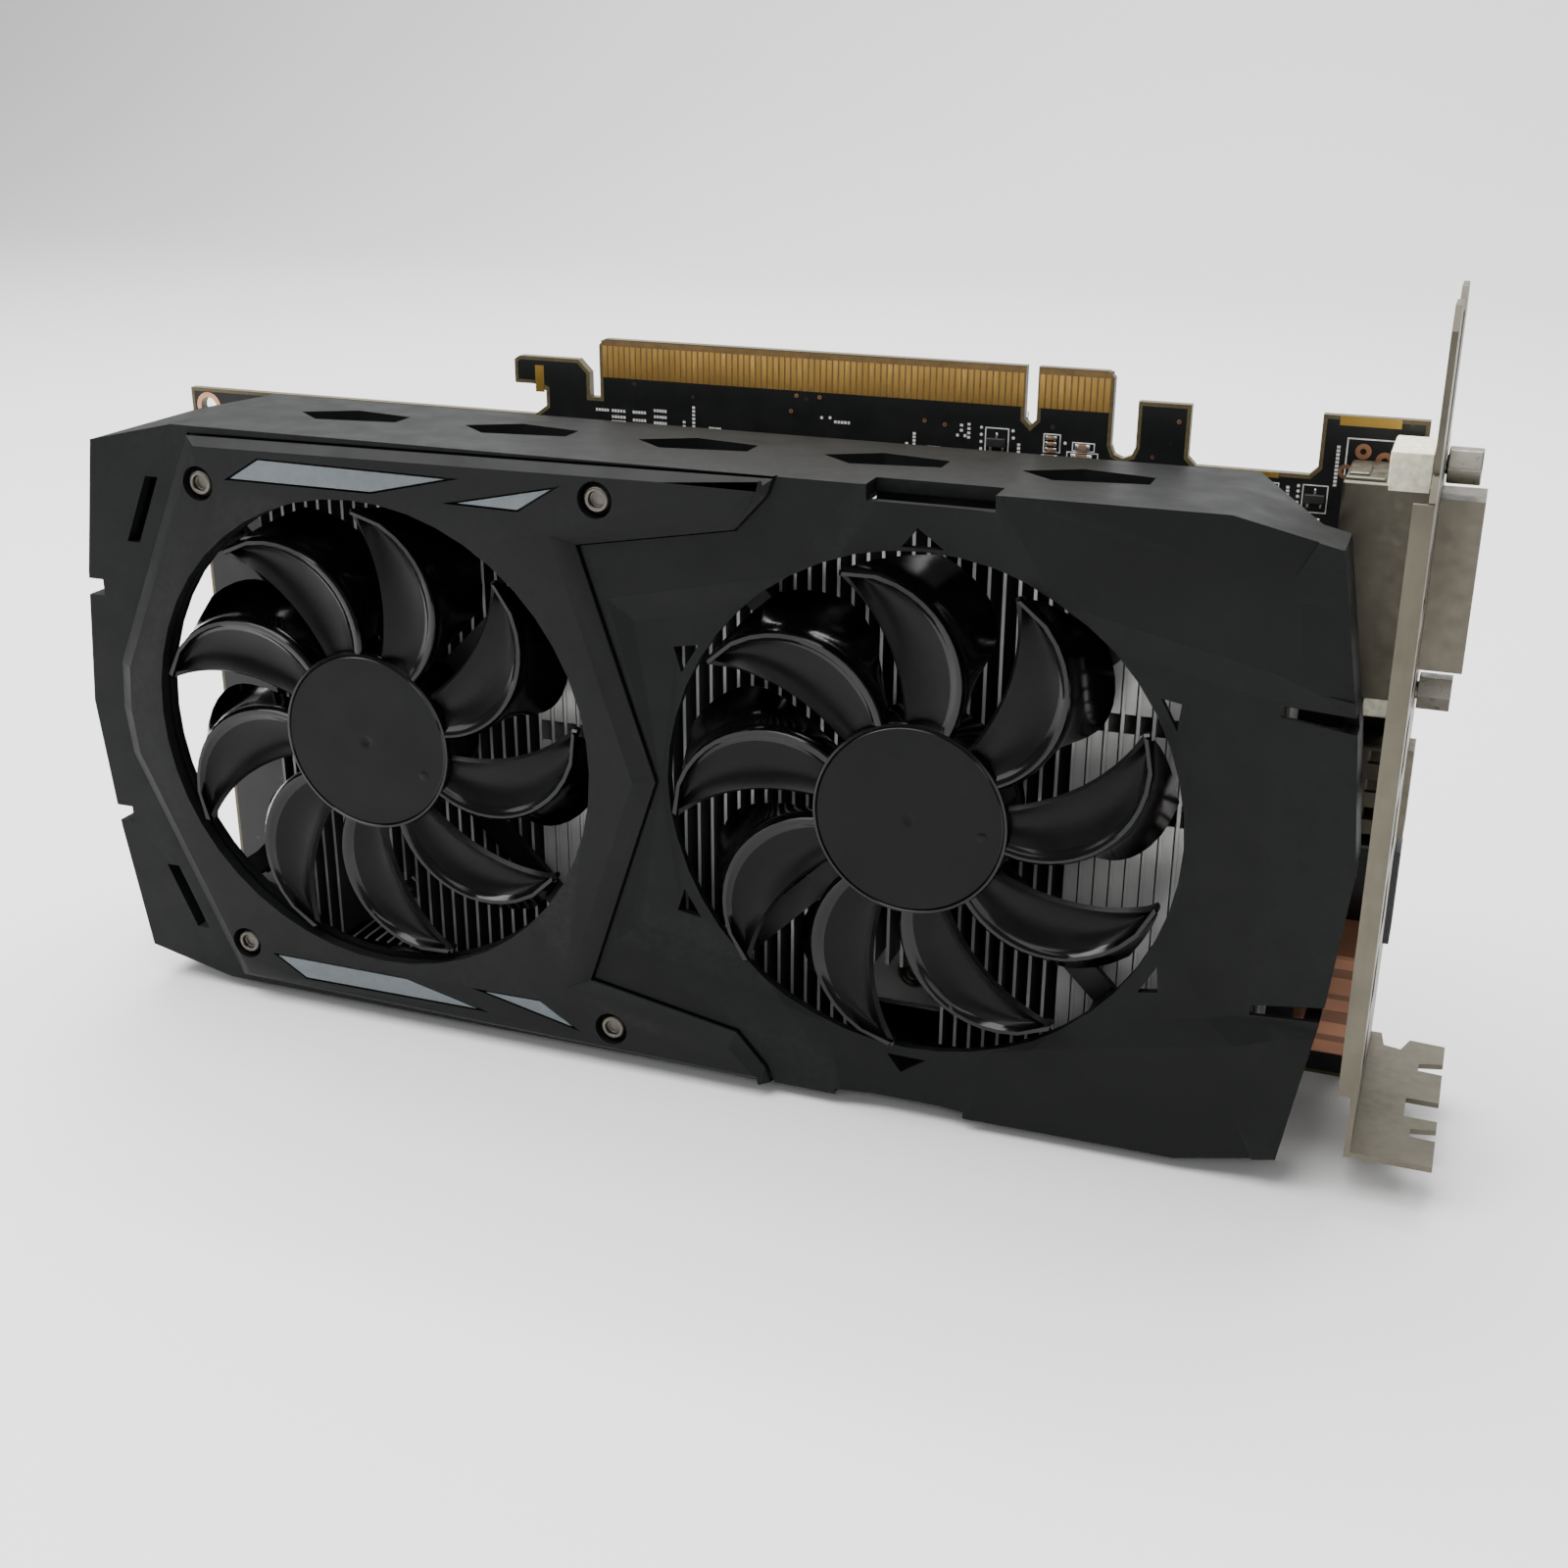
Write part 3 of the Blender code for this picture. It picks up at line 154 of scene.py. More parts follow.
def polished(name, colour, rough, sheen=0.5):
    """Glossy injection moulding with a slight orange peel and fine dust."""
    m = Nodes(name)
    dust = m.noise(1400, 5, 0.7)
    return m.finish(
        Base_Color=m.ramp(dust, colour, tint(colour, 2.2), 0.62, 0.8),
        Roughness=m.span(m.noise(220, 5), rough, rough + 0.1, 0.4, 0.75),
        Normal=m.bump(m.noise(260, 2), 0.02 * MM),
        Specular_IOR_Level=sheen,
    )


def metal(name, colour, rough, stretch=(1, 1, 1), scale=700, bump=0.006 * MM, shine=1.0):
    """Bare metal with drawn grain along the axis whose stretch is smallest, and cloudy tarnish."""
    m = Nodes(name)
    grain = m.noise(scale, 4, 0.6, stretch)
    cloud = m.noise(90, 5)
    return m.finish(
        Base_Color=m.ramp(cloud, tint(colour, 0.8), tint(colour, 1.08)),
        Metallic=shine,
        Roughness=m.span(grain, rough - 0.08, rough + 0.12),
        Normal=m.bump(grain, bump),
    )


def solder_mask(name):
    """Black mask over buried copper: faint cloudy planes with a dimpled sheen, and a few pin-prick vias."""
    m = Nodes(name)
    planes = m.noise(420, 4, 0.6)
    dots = m.add("ShaderNodeTexVoronoi", {"Vector": m.place, "Scale": 230.0})
    via = m.span(dots.outputs["Distance"], 1.0, 0.0, 0.06, 0.1)
    base = m.ramp(planes, (0.0062, 0.0066, 0.0070), (0.0082, 0.0086, 0.0089), 0.35, 0.65)
    colour = m.add(
        "ShaderNodeMix", {"Factor": via, "A": base, "B": (0.035, 0.03, 0.022, 1)}, data_type="RGBA"
    )
    return m.finish(
        Base_Color=colour.outputs["Result"],
        Roughness=m.span(m.noise(300, 4), 0.28, 0.42),
        Normal=m.bump(planes, 0.004 * MM),
        Specular_IOR_Level=0.3,
    )


def laminate(name):
    """Bare board edge: olive-gold glass weave."""
    m = Nodes(name)
    weave = m.noise(1800, 3, 0.6, (1, 6, 1))
    return m.finish(
        Base_Color=m.ramp(weave, (0.06, 0.046, 0.018), (0.11, 0.085, 0.035)),
        Roughness=m.span(weave, 0.4, 0.6),
        Normal=m.bump(weave, 0.01 * MM),
    )


def print_ink(name):
    m = Nodes(name)
    wear = m.noise(1500, 4)
    return m.finish(
        Base_Color=m.ramp(wear, (0.5, 0.5, 0.48), (0.75, 0.75, 0.72)), Roughness=m.span(wear, 0.4, 0.6)
    )


SHROUD = moulded("shroud_plastic", (0.0052, 0.0058, 0.0055), 0.47, sheen=0.11)
PLATE_PLASTIC = moulded("plate_plastic", (0.0068, 0.0074, 0.0070), 0.46, sheen=0.12)
HUB_FILM = moulded("hub_film", (0.0064, 0.0068, 0.0066), 0.5, 1800, sheen=0.11)
BLADE_SATIN = moulded("blade_satin", (0.0022, 0.0022, 0.0023), 0.34, 1400, 0.02 * MM, sheen=0.13)
BLADE_GLOSS = polished("blade_gloss", (0.0010, 0.0010, 0.0012), 0.12, 0.32)
MOTOR_PLASTIC = moulded("motor_plastic", (0.006, 0.006, 0.006), 0.5, sheen=0.3)
STRIPE_METAL = moulded("stripe_paint", (0.076, 0.090, 0.097), 0.38, 1600, 0.006 * MM)
# A dark copy of the fin aluminium: painted shade for the fin sides that sit in shadow behind the shroud.
FIN_PAINTED_SHADE = metal("fin_painted_shade", (0.10, 0.10, 0.098), 0.5, (1, 1, 0.08), 1500, shine=0.6)
FIN_METAL = metal("fin_aluminium", (0.56, 0.57, 0.55), 0.42, (1, 1, 0.08), 1500, shine=0.25)
COPPER = metal("copper", (0.62, 0.32, 0.19), 0.34, (0.1, 1, 1))
BRACKET_STEEL = metal("bracket_nickel", (0.132, 0.120, 0.093), 0.42, (1, 1, 0.25), 520)
PORT_STEEL = metal("port_tin", (0.155, 0.142, 0.112), 0.42, (1, 1, 1), 500)
SCREW_ZINC = metal("screw_zinc", (0.24, 0.225, 0.195), 0.32, (1, 1, 1), 900)
DARK_SCREW = metal("screw_nickel", (0.13, 0.12, 0.105), 0.38, (1, 1, 1), 900)
MASK = solder_mask("solder_mask")
LAMINATE = laminate("laminate_edge")
GOLD = metal("contact_gold", (0.52, 0.31, 0.085), 0.32, (1, 1, 0.1), 1600)
BARE_GOLD = metal("bare_gold", (0.56, 0.35, 0.08), 0.42, (1, 1, 1), 1600)
FINGER_BED = moulded("finger_bed", (0.10, 0.058, 0.016), 0.45, 1500)
TRACK = moulded("masked_track", (0.0125, 0.0130, 0.0135), 0.32, 1500, 0.004 * MM, sheen=0.35)
INK = print_ink("silkscreen")
CHIP = moulded("chip_epoxy", (0.012, 0.012, 0.0125), 0.4, 3000)
PACKAGE = moulded("package_laminate", (0.02, 0.05, 0.025), 0.35)
SILICON = polished("silicon", (0.10, 0.105, 0.12), 0.08)
SOCKET = moulded("socket_nylon", (0.01, 0.01, 0.01), 0.42)
CREAM = moulded("cream_nylon", (0.60, 0.58, 0.45), 0.42, 1500)
CERAMIC = moulded("ceramic_brown", (0.14, 0.085, 0.05), 0.35, 3000)
SOLDER = metal("solder", (0.70, 0.70, 0.68), 0.22, (1, 1, 1), 1200)
TARNISH = metal("tarnished_copper", (0.16, 0.075, 0.045), 0.5, (0.2, 1, 1), 400, shine=0.5)
PORT_SHIELD = metal("port_shield_copper", (0.32, 0.15, 0.085), 0.5, (0.2, 1, 1), 400, shine=0.5)
FERRITE = moulded("ferrite", (0.03, 0.03, 0.03), 0.5, 1500)


# ---------------------------------------------------------------- mesh tools


def mesh_object(name, bm, look, body="card"):
    mesh = bpy.data.meshes.new(name)
    bm.to_mesh(mesh)
    bm.free()
    obj = bpy.data.objects.new(name, mesh)
    bpy.context.scene.collection.objects.link(obj)
    looks = look if isinstance(look, (list, tuple)) else [look]
    for one in looks:
        mesh.materials.append(one)
    if body:
        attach(obj, body)
    return obj


def applied(obj):
    """Puts the evaluated mesh in place of the object's own, and drops its modifiers."""
    bpy.context.view_layer.update()
    depsgraph = bpy.context.evaluated_depsgraph_get()
    mesh = bpy.data.meshes.new_from_object(obj.evaluated_get(depsgraph))
    obj.modifiers.clear()
    obj.data = mesh
    return obj


def smooth(obj, angle=35):
    obj.data.shade_smooth()
    obj.data.set_sharp_from_angle(angle=radians(angle))
    return obj


def rounded(obj, width, segments=2, angle=30, crease=None):
    """Rounds edges sharper than the angle, keeps broad faces flat, and creases the joins of facets."""

    def creases(bm):
        for face in bm.faces:
            face.smooth = True
        for edge in bm.edges:
            turn = edge.calc_face_angle(0)
            edge.smooth = not (crease and radians(crease) < turn < radians(angle))

    edited(obj, creases)
    bevel = obj.modifiers.new("edges", "BEVEL")
    bevel.width = width
    bevel.segments = segments
    bevel.limit_method = "ANGLE"
    bevel.angle_limit = radians(angle)
    bevel.use_clamp_overlap = True
    flat = obj.modifiers.new("flat", "WEIGHTED_NORMAL")
    flat.keep_sharp = True
    flat.weight = 80
    return applied(obj)


def prism_into(bm, outline, back, front):
    """Adds a closed prism over an (x, z) outline between two depths."""
    rear = [bm.verts.new(at(x, back, z)) for x, z in outline]
    fore = [bm.verts.new(at(x, front, z)) for x, z in outline]
    bm.faces.new(fore)
    bm.faces.new(rear[::-1])
    count = len(fore)
    for i in range(count):
        j = (i + 1) % count
        bm.faces.new((fore[j], fore[i], rear[i], rear[j]))


def box_into(bm, low, high, slot=0):
    """Adds a box between two datum corners given as (x, depth, z)."""
    low, high = at(*low), at(*high)
    corners = [
        bm.verts.new((x, y, z)) for x in (low.x, high.x) for y in (low.y, high.y) for z in (low.z, high.z)
    ]
    for quad in ((0, 1, 3, 2), (4, 6, 7, 5), (0, 4, 5, 1), (2, 3, 7, 6), (0, 2, 6, 4), (1, 5, 7, 3)):
        bm.faces.new([corners[i] for i in quad]).material_index = slot


def boxes(name, corners, look, body="card", bevel=0.0):
    bm = bmesh.new()
    for low, high in corners:
        box_into(bm, low, high)
    bmesh.ops.recalc_face_normals(bm, faces=bm.faces)
    obj = mesh_object(name, bm, look, body)
    return rounded(obj, bevel, 1) if bevel else obj


def copied(node, name):
    """A clean copy of a CAD node's solid: welded, with its flat faces made whole."""
    bm = bmesh.new()
    bm.from_mesh(NODES[node].data)
    bmesh.ops.remove_doubles(bm, verts=bm.verts, dist=0.002 * MM)
    bmesh.ops.dissolve_limit(bm, angle_limit=radians(0.5), verts=bm.verts, edges=bm.edges)
    return bm


def edited(obj, change):
    """Runs one change on the mesh of an object."""
    bm = bmesh.new()
    bm.from_mesh(obj.data)
    change(bm)
    bm.to_mesh(obj.data)
    bm.free()


def triangles(bm):
    bmesh.ops.triangulate(bm, faces=bm.faces)


def whole_faces(bm):
    bmesh.ops.remove_doubles(bm, verts=bm.verts, dist=0.004 * MM)
    bmesh.ops.dissolve_limit(bm, angle_limit=radians(0.4), verts=bm.verts, edges=bm.edges)


def cut_by(obj, tools):
    """Cuts the tools out of the mesh for good, and removes them."""
    for tool in tools:
        edited(obj, triangles)
        edited(tool, triangles)
        step = obj.modifiers.new("cut", "BOOLEAN")
        step.operation = "DIFFERENCE"
        step.object = tool
        step.solver = "MANIFOLD"
        applied(obj)
        bpy.data.objects.remove(tool)
    if tools:
        edited(obj, whole_faces)


def refine(node, look, width=0.2 * MM, segments=2, tools=(), body="card", crease=None):
    """Stands for a CAD node with a copy whose edges are rounded, after any extra cuts."""
    obj = mesh_object(f"{node}_finished", copied(node, node), look, body)
    cut_by(obj, tools)
    rounded(obj, width, segments, 30, crease)
    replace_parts(obj, node)
    return obj


def inset(points, distance):
    """A clockwise outline moved inwards by one distance on every side."""
    moved = []
    for before, here, after in zip(points[-1:] + points[:-1], points, points[1:] + points[:1]):
        along = (Vector(here) - Vector(before)).normalized()
        onward = (Vector(after) - Vector(here)).normalized()
        bisector = (along + onward).normalized()
        inward = Vector((bisector.y, -bisector.x))
        moved.append(tuple(Vector(here) + inward * distance / inward.dot(Vector((along.y, -along.x)))))
    return moved


def cutter(name, prisms):
    """An unseen tool of one or more prisms, each (outline, back, front)."""
    bm = bmesh.new()
    for prism in prisms:
        prism_into(bm, *prism)
    bmesh.ops.recalc_face_normals(bm, faces=bm.faces)
    return mesh_object(name, bm, SHROUD, None)


# ---------------------------------------------------------------- camera, floor and light


def build_camera():
    camera = bpy.data.cameras.new("camera")
    camera.lens = 44.08
    camera.sensor_width = 36
    camera.clip_start = 0.01
    obj = bpy.data.objects.new("camera", camera)
    obj.location = at(66.79 * MM, 288.54 * MM, 47.98 * MM)
    obj.rotation_euler = (radians(68.412), radians(-0.291), radians(20.400))
    bpy.context.scene.collection.objects.link(obj)
    bpy.context.scene.camera = obj


def area_light(name, place, target, size, power, colour=(1, 1, 1)):
    light = bpy.data.lights.new(name, "AREA")
    light.shape = "RECTANGLE"
    light.size, light.size_y = size
    light.energy = power
    light.color = colour
    obj = bpy.data.objects.new(name, light)
    obj.location = place
    obj.rotation_euler = (Vector(target) - Vector(place)).to_track_quat("-Z", "Y").to_euler()
    bpy.context.scene.collection.objects.link(obj)


def build_studio():
    floor_look = Nodes("pale_floor")
    floor_material = floor_look.finish(
        Base_Color=floor_look.ramp(floor_look.noise(3, 2), (0.92, 0.92, 0.915), (0.95, 0.95, 0.945)),
        Roughness=0.6,
    )
    bend, back = 0.6, 1.6
    profile = [(-3.0, 0.0), (back - bend, 0.0)]
    turns = [pi / 32 * step for step in range(1, 17)]
    profile += [(back - bend + bend * sin(turn), bend - bend * cos(turn)) for turn in turns]
    profile.append((back, 3.5))
    bm = bmesh.new()
    rows = [[bm.verts.new((x, y, z)) for x in (-5.0, 5.0)] for y, z in profile]
    for one, two in zip(rows, rows[1:]):
        bm.faces.new((one[0], one[1], two[1], two[0])).smooth = True
    floor = mesh_object("floor", bm, floor_material, None)
    world = bpy.data.worlds.new("studio")
    bpy.context.scene.world = world
    world.use_nodes = True
    background = world.node_tree.nodes["Background"]
    background.inputs["Color"].default_value = (0.95, 0.97, 1.0, 1)
    background.inputs["Strength"].default_value = 0.3
    area_light("top_softbox", (-0.25, 0.05, 0.9), (0, 0, 0.06), (1.5, 1.0), 32)
    area_light("left_softbox", (-0.8, -0.55, 0.75), (0, 0, 0.06), (0.35, 0.7), 2.6)
    area_light("front_strip", (0.2, -1.4, 0.95), (0, 0, 0.06), (1.1, 0.3), 3.0)
    area_light("right_fill", (0.75, -0.95, 0.45), (0, 0, 0.06), (0.5, 0.5), 1.5)
    area_light("back_wall", (0.0, 0.9, 1.5), (0, 1.5, 0.5), (2.4, 0.3), 16)


# ---------------------------------------------------------------- fans

FAN_R = 37.6 * MM
HUB_R = 15.0 * MM
HUB_FRONT = 40.6 * MM
BLADES = 9
SCOOP_STEPS = 5


def blade_angles(radius):
    """Angles of a blade's leading edge, crest and trailing edge at one radius, from its root."""
    along = max((radius - HUB_R) / (FAN_R - HUB_R), 0)
    lead = -radians(25 + 13.5 * along ** 1.6)
    centre, reach = 0.594 * FAN_R, 0.414 * FAN_R
    crest = acos(min((radius**2 + centre**2 - reach**2) / (2 * radius * centre), 1)) - radians(44)
    widest = 0.53
    if along < widest:
        trail = -radians(2 + 7 * ((widest - along) / widest) ** 2)
    else:
        trail = -radians(2 + 18 * ((along - widest) / (1 - widest)) ** 2.2)
    return lead, crest, trail


def blade_section(radius):
    """Smooth section of a blade: hollow scoop up to a raised lip, then a long slope to the back."""
    lead, crest, trail = blade_angles(radius)
    front = HUB_FRONT - 0.5 * MM
    scoop = [
        (lead + (crest - lead) * t, front - 0.5 * MM * (1 - t) - 1.6 * MM * sin(pi * t ** 0.8))
        for t in (0, 0.12, 0.3, 0.5, 0.7, 0.85)
    ]
    lip_width = 0.55 * MM / radius
    lip = [
        (crest - lip_width, front - 0.35 * MM),
        (crest - 0.3 * lip_width, front),
        (crest + 0.3 * lip_width, front),
        (crest + lip_width, front - 0.5 * MM),
    ]
    slope = []
    for t in (0.12, 0.3, 0.5, 0.75, 1):
        slope.append((crest + lip_width + (trail - crest) * t ** 1.6, front - 0.9 * MM - 7.0 * MM * t))
    return scoop + lip + slope


def fan_blades(name, x, phase):
    bm = bmesh.new()
    steps = 16
    root = HUB_R - 0.4 * MM
    span = FAN_R - HUB_R + 0.4 * MM
    radii = [root + span * (step / steps) ** 0.85 for step in range(steps + 1)]
    for blade in range(BLADES):
        turn = phase + 2 * pi * blade / BLADES
        rows = []
        for radius in radii:
            rows.append([
                bm.verts.new(at(x + radius * sin(turn + angle), depth, FAN_Z + radius * cos(turn + angle)))
                for angle, depth in blade_section(radius)
            ])
        for inner, outer in zip(rows, rows[1:]):
            for side in range(len(inner) - 1):
                face = bm.faces.new((inner[side], inner[side + 1], outer[side + 1], outer[side]))
                face.material_index = 0 if side < SCOOP_STEPS else 1
    bmesh.ops.recalc_face_normals(bm, faces=bm.faces)
    blades = mesh_object(f"{name}_blades", bm, [BLADE_SATIN, BLADE_GLOSS], name)
    sheet = blades.modifiers.new("thickness", "SOLIDIFY")
    sheet.thickness = 0.8 * MM
    sheet.offset = 0
    applied(blades)
    return smooth(blades, 50)


def turned_into(bm, x, z, profile, segments=64, slots=None):
    """Adds a profile of (radius, depth) points turned about an axis that faces the front."""
    rings = []
    for radius, depth in profile:
        if radius == 0:
            rings.append([bm.verts.new(at(x, depth, z))])
        else:
            turns = [2 * pi * s / segments for s in range(segments)]
            rings.append([
                bm.verts.new(at(x + radius * sin(turn), depth, z + radius * cos(turn))) for turn in turns
            ])
    for index, (one, two) in enumerate(zip(rings, rings[1:])):
        for s in range(segments):
            t = (s + 1) % segments
            corners = [one[s % len(one)], one[t % len(one)], two[t % len(two)], two[s % len(two)]]
            face = bm.faces.new(list(dict.fromkeys(corners)))
            face.material_index = slots[index] if slots else 0


def turned(name, x, z, profile, look, body="card", segments=64, slots=None, angle=35):
    bm = bmesh.new()
    turned_into(bm, x, z, profile, segments, slots)
    bmesh.ops.recalc_face_normals(bm, faces=bm.faces)
    return smooth(mesh_object(name, bm, look, body), angle)


def build_fan(name, x, phase):
    front = HUB_FRONT
    hub = turned(
        f"{name}_hub",
        x,
        FAN_Z,
        [
            (0, front - 0.45 * MM),
            (0.5 * MM, front - 0.4 * MM),
            (0.9 * MM, front - 0.12 * MM),
            (1.3 * MM, front - 0.1 * MM),
            (1.8 * MM, front - 0.1 * MM),
            (HUB_R - 1.3 * MM, front - 0.1 * MM),
            (HUB_R - 0.95 * MM, front - 0.1 * MM),
            (HUB_R - 0.75 * MM, front - 0.25 * MM),
            (HUB_R - 0.6 * MM, front - 0.02 * MM),
            (HUB_R - 0.25 * MM, front - 0.1 * MM),
            (HUB_R, front - 0.6 * MM),
            (HUB_R, front - 10.0 * MM),
            (HUB_R - 1.2 * MM, front - 10.1 * MM),
            (HUB_R - 1.2 * MM, front - 1.4 * MM),
            (1.0 * MM, front - 1.4 * MM),
            (1.0 * MM, front - 9.6 * MM),
            (0, front - 9.6 * MM),
        ],
        [HUB_FILM, BLADE_GLOSS, DARK_SCREW],
        name,
        96,
        [0] * 6 + [1] * 8 + [2, 2],
    )
    gate = FANS[name][1] + radians(75)
    spot = turned(
        f"{name}_gate_mark",
        x + 11.2 * MM * sin(gate),
        FAN_Z + 11.2 * MM * cos(gate),
        [(0, front - 0.04 * MM), (0.75 * MM, front - 0.04 * MM), (0.9 * MM, front - 0.12 * MM)],
        BLADE_SATIN,
        name,
        20,
    )
    blades = fan_blades(name, x, phase)
    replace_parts(hub, f"{name}_rotor")
    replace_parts(blades, f"{name}_rotor")
    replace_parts(spot, f"{name}_rotor")


# ---------------------------------------------------------------- shroud and plate

FLUSH = FACE + 0.03 * MM
LOW = FACE - 0.75 * MM              # depth of the recess round the right fan
LOWER = FACE - 1.2 * MM             # depth of the panel beside the right edge


def flip_face(points):
    return [(x, 2 * MIDDLE / MM - z, depth) for x, z, depth in reversed(points)]


def faceted_tool(name, floor):
    """A cutter open to the front whose floor is made of (x, z, depth) polygons, mirrored below the middle."""
    bm = bmesh.new()
    for points in floor + [flip_face(points) for points in floor]:
        bm.faces.new([bm.verts.new(at(x * MM, depth, z * MM)) for x, z, depth in points])
    bmesh.ops.remove_doubles(bm, verts=bm.verts, dist=0.005 * MM)
    rim = [edge for edge in bm.edges if edge.is_boundary]
    made = bmesh.ops.extrude_edge_only(bm, edges=rim)
    for vert in made["geom"]:
        if isinstance(vert, bmesh.types.BMVert):
            vert.co.y = DATUM.y - FACE - 4 * MM
    bmesh.ops.holes_fill(bm, edges=bm.edges, sides=0)
    bmesh.ops.recalc_face_normals(bm, faces=bm.faces)
    return mesh_object(name, bm, SHROUD, None)


def recess_tool():
    """The recess round the right fan: sloped bands, chevrons at both sides, a lower panel at the right."""
    middle = MIDDLE / MM
    arm = [(-15.5, -11), (-25.3, -25.4), (-54.5, -31.8), (-46.0, middle)]
    foot = [(-10.0, -11), (-18.8, -23.3), (-30.4, -31.1), (-50.2, -35.2), (-43.5, -40.5), (-43.0, middle)]
    right_arm = [(4.3, -11), (14.1, -25.4), (43.3, -31.8)]
    right_foot = [(-1.2, -11), (7.6, -23.3), (19.2, -31.1), (39.0, -35.2), (33.7, -45.6), (32.7, middle)]

    def rim(points):
        return [(x, z, FLUSH) for x, z in points]

    def low(points):
        return [(x, z, LOW) for x, z in points]

    top, shoulder, corner, waist = rim(arm)
    top_in, neck, hip, corner_in, cheek, waist_in = low(foot)
    top_r, shoulder_r, corner_r = rim(right_arm)
    top_in_r, neck_r, hip_r, corner_in_r, cheek_r, waist_in_r = low(right_foot)
    panel = (42.5, -36.2, LOWER)
    panel_waist = (34.4, middle, LOWER)
    panel_top = (46.5, -36.6, LOWER)
    panel_edge = (60.0, -37.8, LOWER)
    edge_top = (47.6, -33.4, FLUSH)
    edge = (60.0, -34.8, FLUSH)
    return faceted_tool("recess", [
        [top, shoulder, neck, top_in],
        [top_in_r, neck_r, shoulder_r, top_r],
        [shoulder, hip, neck],
        [shoulder_r, neck_r, hip_r],
        [shoulder, corner, corner_in, hip],
        [shoulder_r, hip_r, corner_in_r, corner_r],
        [corner, waist, waist_in, cheek, corner_in],
        [corner_in_r, cheek_r, waist_in_r, panel_waist, panel],
        [
            top_in, neck, hip, corner_in, cheek, waist_in,
            waist_in_r, cheek_r, corner_in_r, hip_r, neck_r, top_in_r,
        ],
        [panel, panel_waist, (60.0, middle, LOWER), panel_edge, panel_top],
        [corner_r, corner_in_r, panel],
        [corner_r, panel, panel_top, edge_top],
        [edge_top, panel_top, panel_edge, edge],
    ])


def corner_tool():
    """Facets that fall away to the right edge above the panel, and to the top edge."""
    hinge = (45.8, -22.0, FLUSH)
    foot = (47.6, -34.0, FLUSH)
    crown = (53.2, -14.0, FLUSH)
    return faceted_tool("corner_facets", [
        [hinge, foot, (60.0, -36.0, FACE - 1.5 * MM), (58.0, -24.0, FACE - 1.5 * MM)],
        [hinge, (58.0, -24.0, FACE - 1.5 * MM), crown],
    ])


def edge_tool():
    """A shallow facet along the top, right of the fan."""
    near = [(5.5, -12.6, FLUSH), (44.0, -20.9, FLUSH)]
    far = [(50.0, -9.0, FACE - 0.8 * MM), (5.5, -9.0, FACE - 0.3 * MM)]
    return faceted_tool("edge_facet", [near + far])


def plate_outline():
    """The raised plate's outline, clockwise, with the width of the bevel on the side after each point."""
    upper = [
        (-145.0, -60.2, 2.6),
        (-144.2, -52.0, 2.6),
        (-126.4, -12.7, 1.3),
        (-27.6, -11.6, 1.2),
        (-28.5, -14.0, 2.0),
        (-33.4, -19.4, 2.0),
        (-58.8, -24.0, 3.0),
        (-46.6, -60.2, 3.0),
    ]
    lower = [(x, 2 * MIDDLE / MM - z) for x, z, _ in upper[1:-1]]
    widths = [width for _, _, width in upper]
    lower_widths = list(reversed(widths[:-1]))
    points = [(x * MM, z * MM) for x, z, _ in upper] + [(x * MM, z * MM) for x, z in reversed(lower)]
    return points, [width * MM for width in widths[:-1] + lower_widths]


def bevel_line(points, widths):
    """An outline moved inwards by its own width on each side; side i runs from point i to the next."""
    count = len(points)
    sides = []
    for i in range(count):
        here, onward = Vector(points[i]), Vector(points[(i + 1) % count])
        along = (onward - here).normalized()
        inward = Vector((along.y, -along.x))
        sides.append((here + inward * widths[i], along))
    moved = []
    for i in range(count):
        base, along = sides[i - 1]
        other, onward = sides[i]
        turn = along.x * onward.y - along.y * onward.x
        step = ((other - base).x * onward.y - (other - base).y * onward.x) / turn
        moved.append(tuple(base + along * step))
    return moved


def shroud_grooves():
    """A shallow seat round the plate that leaves a thin dark line along its seam."""
    points, _ = plate_outline()
    seat = inset(points, -0.3 * MM)
    return cutter("plate_seat", [(seat, FACE - 0.7 * MM, FACE + 0.5 * MM)])


def build_shroud():
    tools = [recess_tool(), corner_tool(), edge_tool(), shroud_grooves()]
    refine("shroud", SHROUD, 0.3 * MM, 2, tools, crease=4.2)
    liner = ((-15.5 * MM, 27.5 * MM, -19.0 * MM), (6.0 * MM, 28.3 * MM, -13.4 * MM))
    boxes("slot_liner", [liner], SHROUD, bevel=0.2 * MM)


def plate_bevel_tool():
    """A ring of triangular section that takes the sloped edge off the plate."""
    points, widths = plate_outline()
    crest = bevel_line(points, widths)
    drop, reach = 1.5 * MM, 0.15
    bm = bmesh.new()
    sections = []
    for outer, inner in zip(points, crest):
        outer, inner = Vector(outer), Vector(inner)
        step = (inner - outer) * reach
        far, near = outer - step, inner + step
        sections.append([
            bm.verts.new(at(near.x, PLATE + drop * reach, near.y)),
            bm.verts.new(at(far.x, PLATE - drop * (1 + reach), far.y)),
            bm.verts.new(at(far.x, PLATE + drop * reach, far.y)),
        ])
    for one, two in zip(sections, sections[1:] + sections[:1]):
        for i in range(3):
            j = (i + 1) % 3
            bm.faces.new((one[i], one[j], two[j], two[i]))
    bmesh.ops.recalc_face_normals(bm, faces=bm.faces)
    return mesh_object("plate_bevel", bm, SHROUD, None)


def build_plate():
    refine("front_plate", PLATE_PLASTIC, 0.18 * MM, 2, [plate_bevel_tool()], crease=4.2)
    for place in ("top", "bottom"):
        for kind in ("long", "short"):
            refine(f"stripe_{place}_{kind}", STRIPE_METAL, 0.12 * MM, 2)


# ---------------------------------------------------------------- board


COPPER_T = 0.04 * MM
INK_T = 0.02 * MM
TRACK_T = 0.015 * MM
BOARD_T = 1.6 * MM
FINGER_PITCH = 1.0 * MM


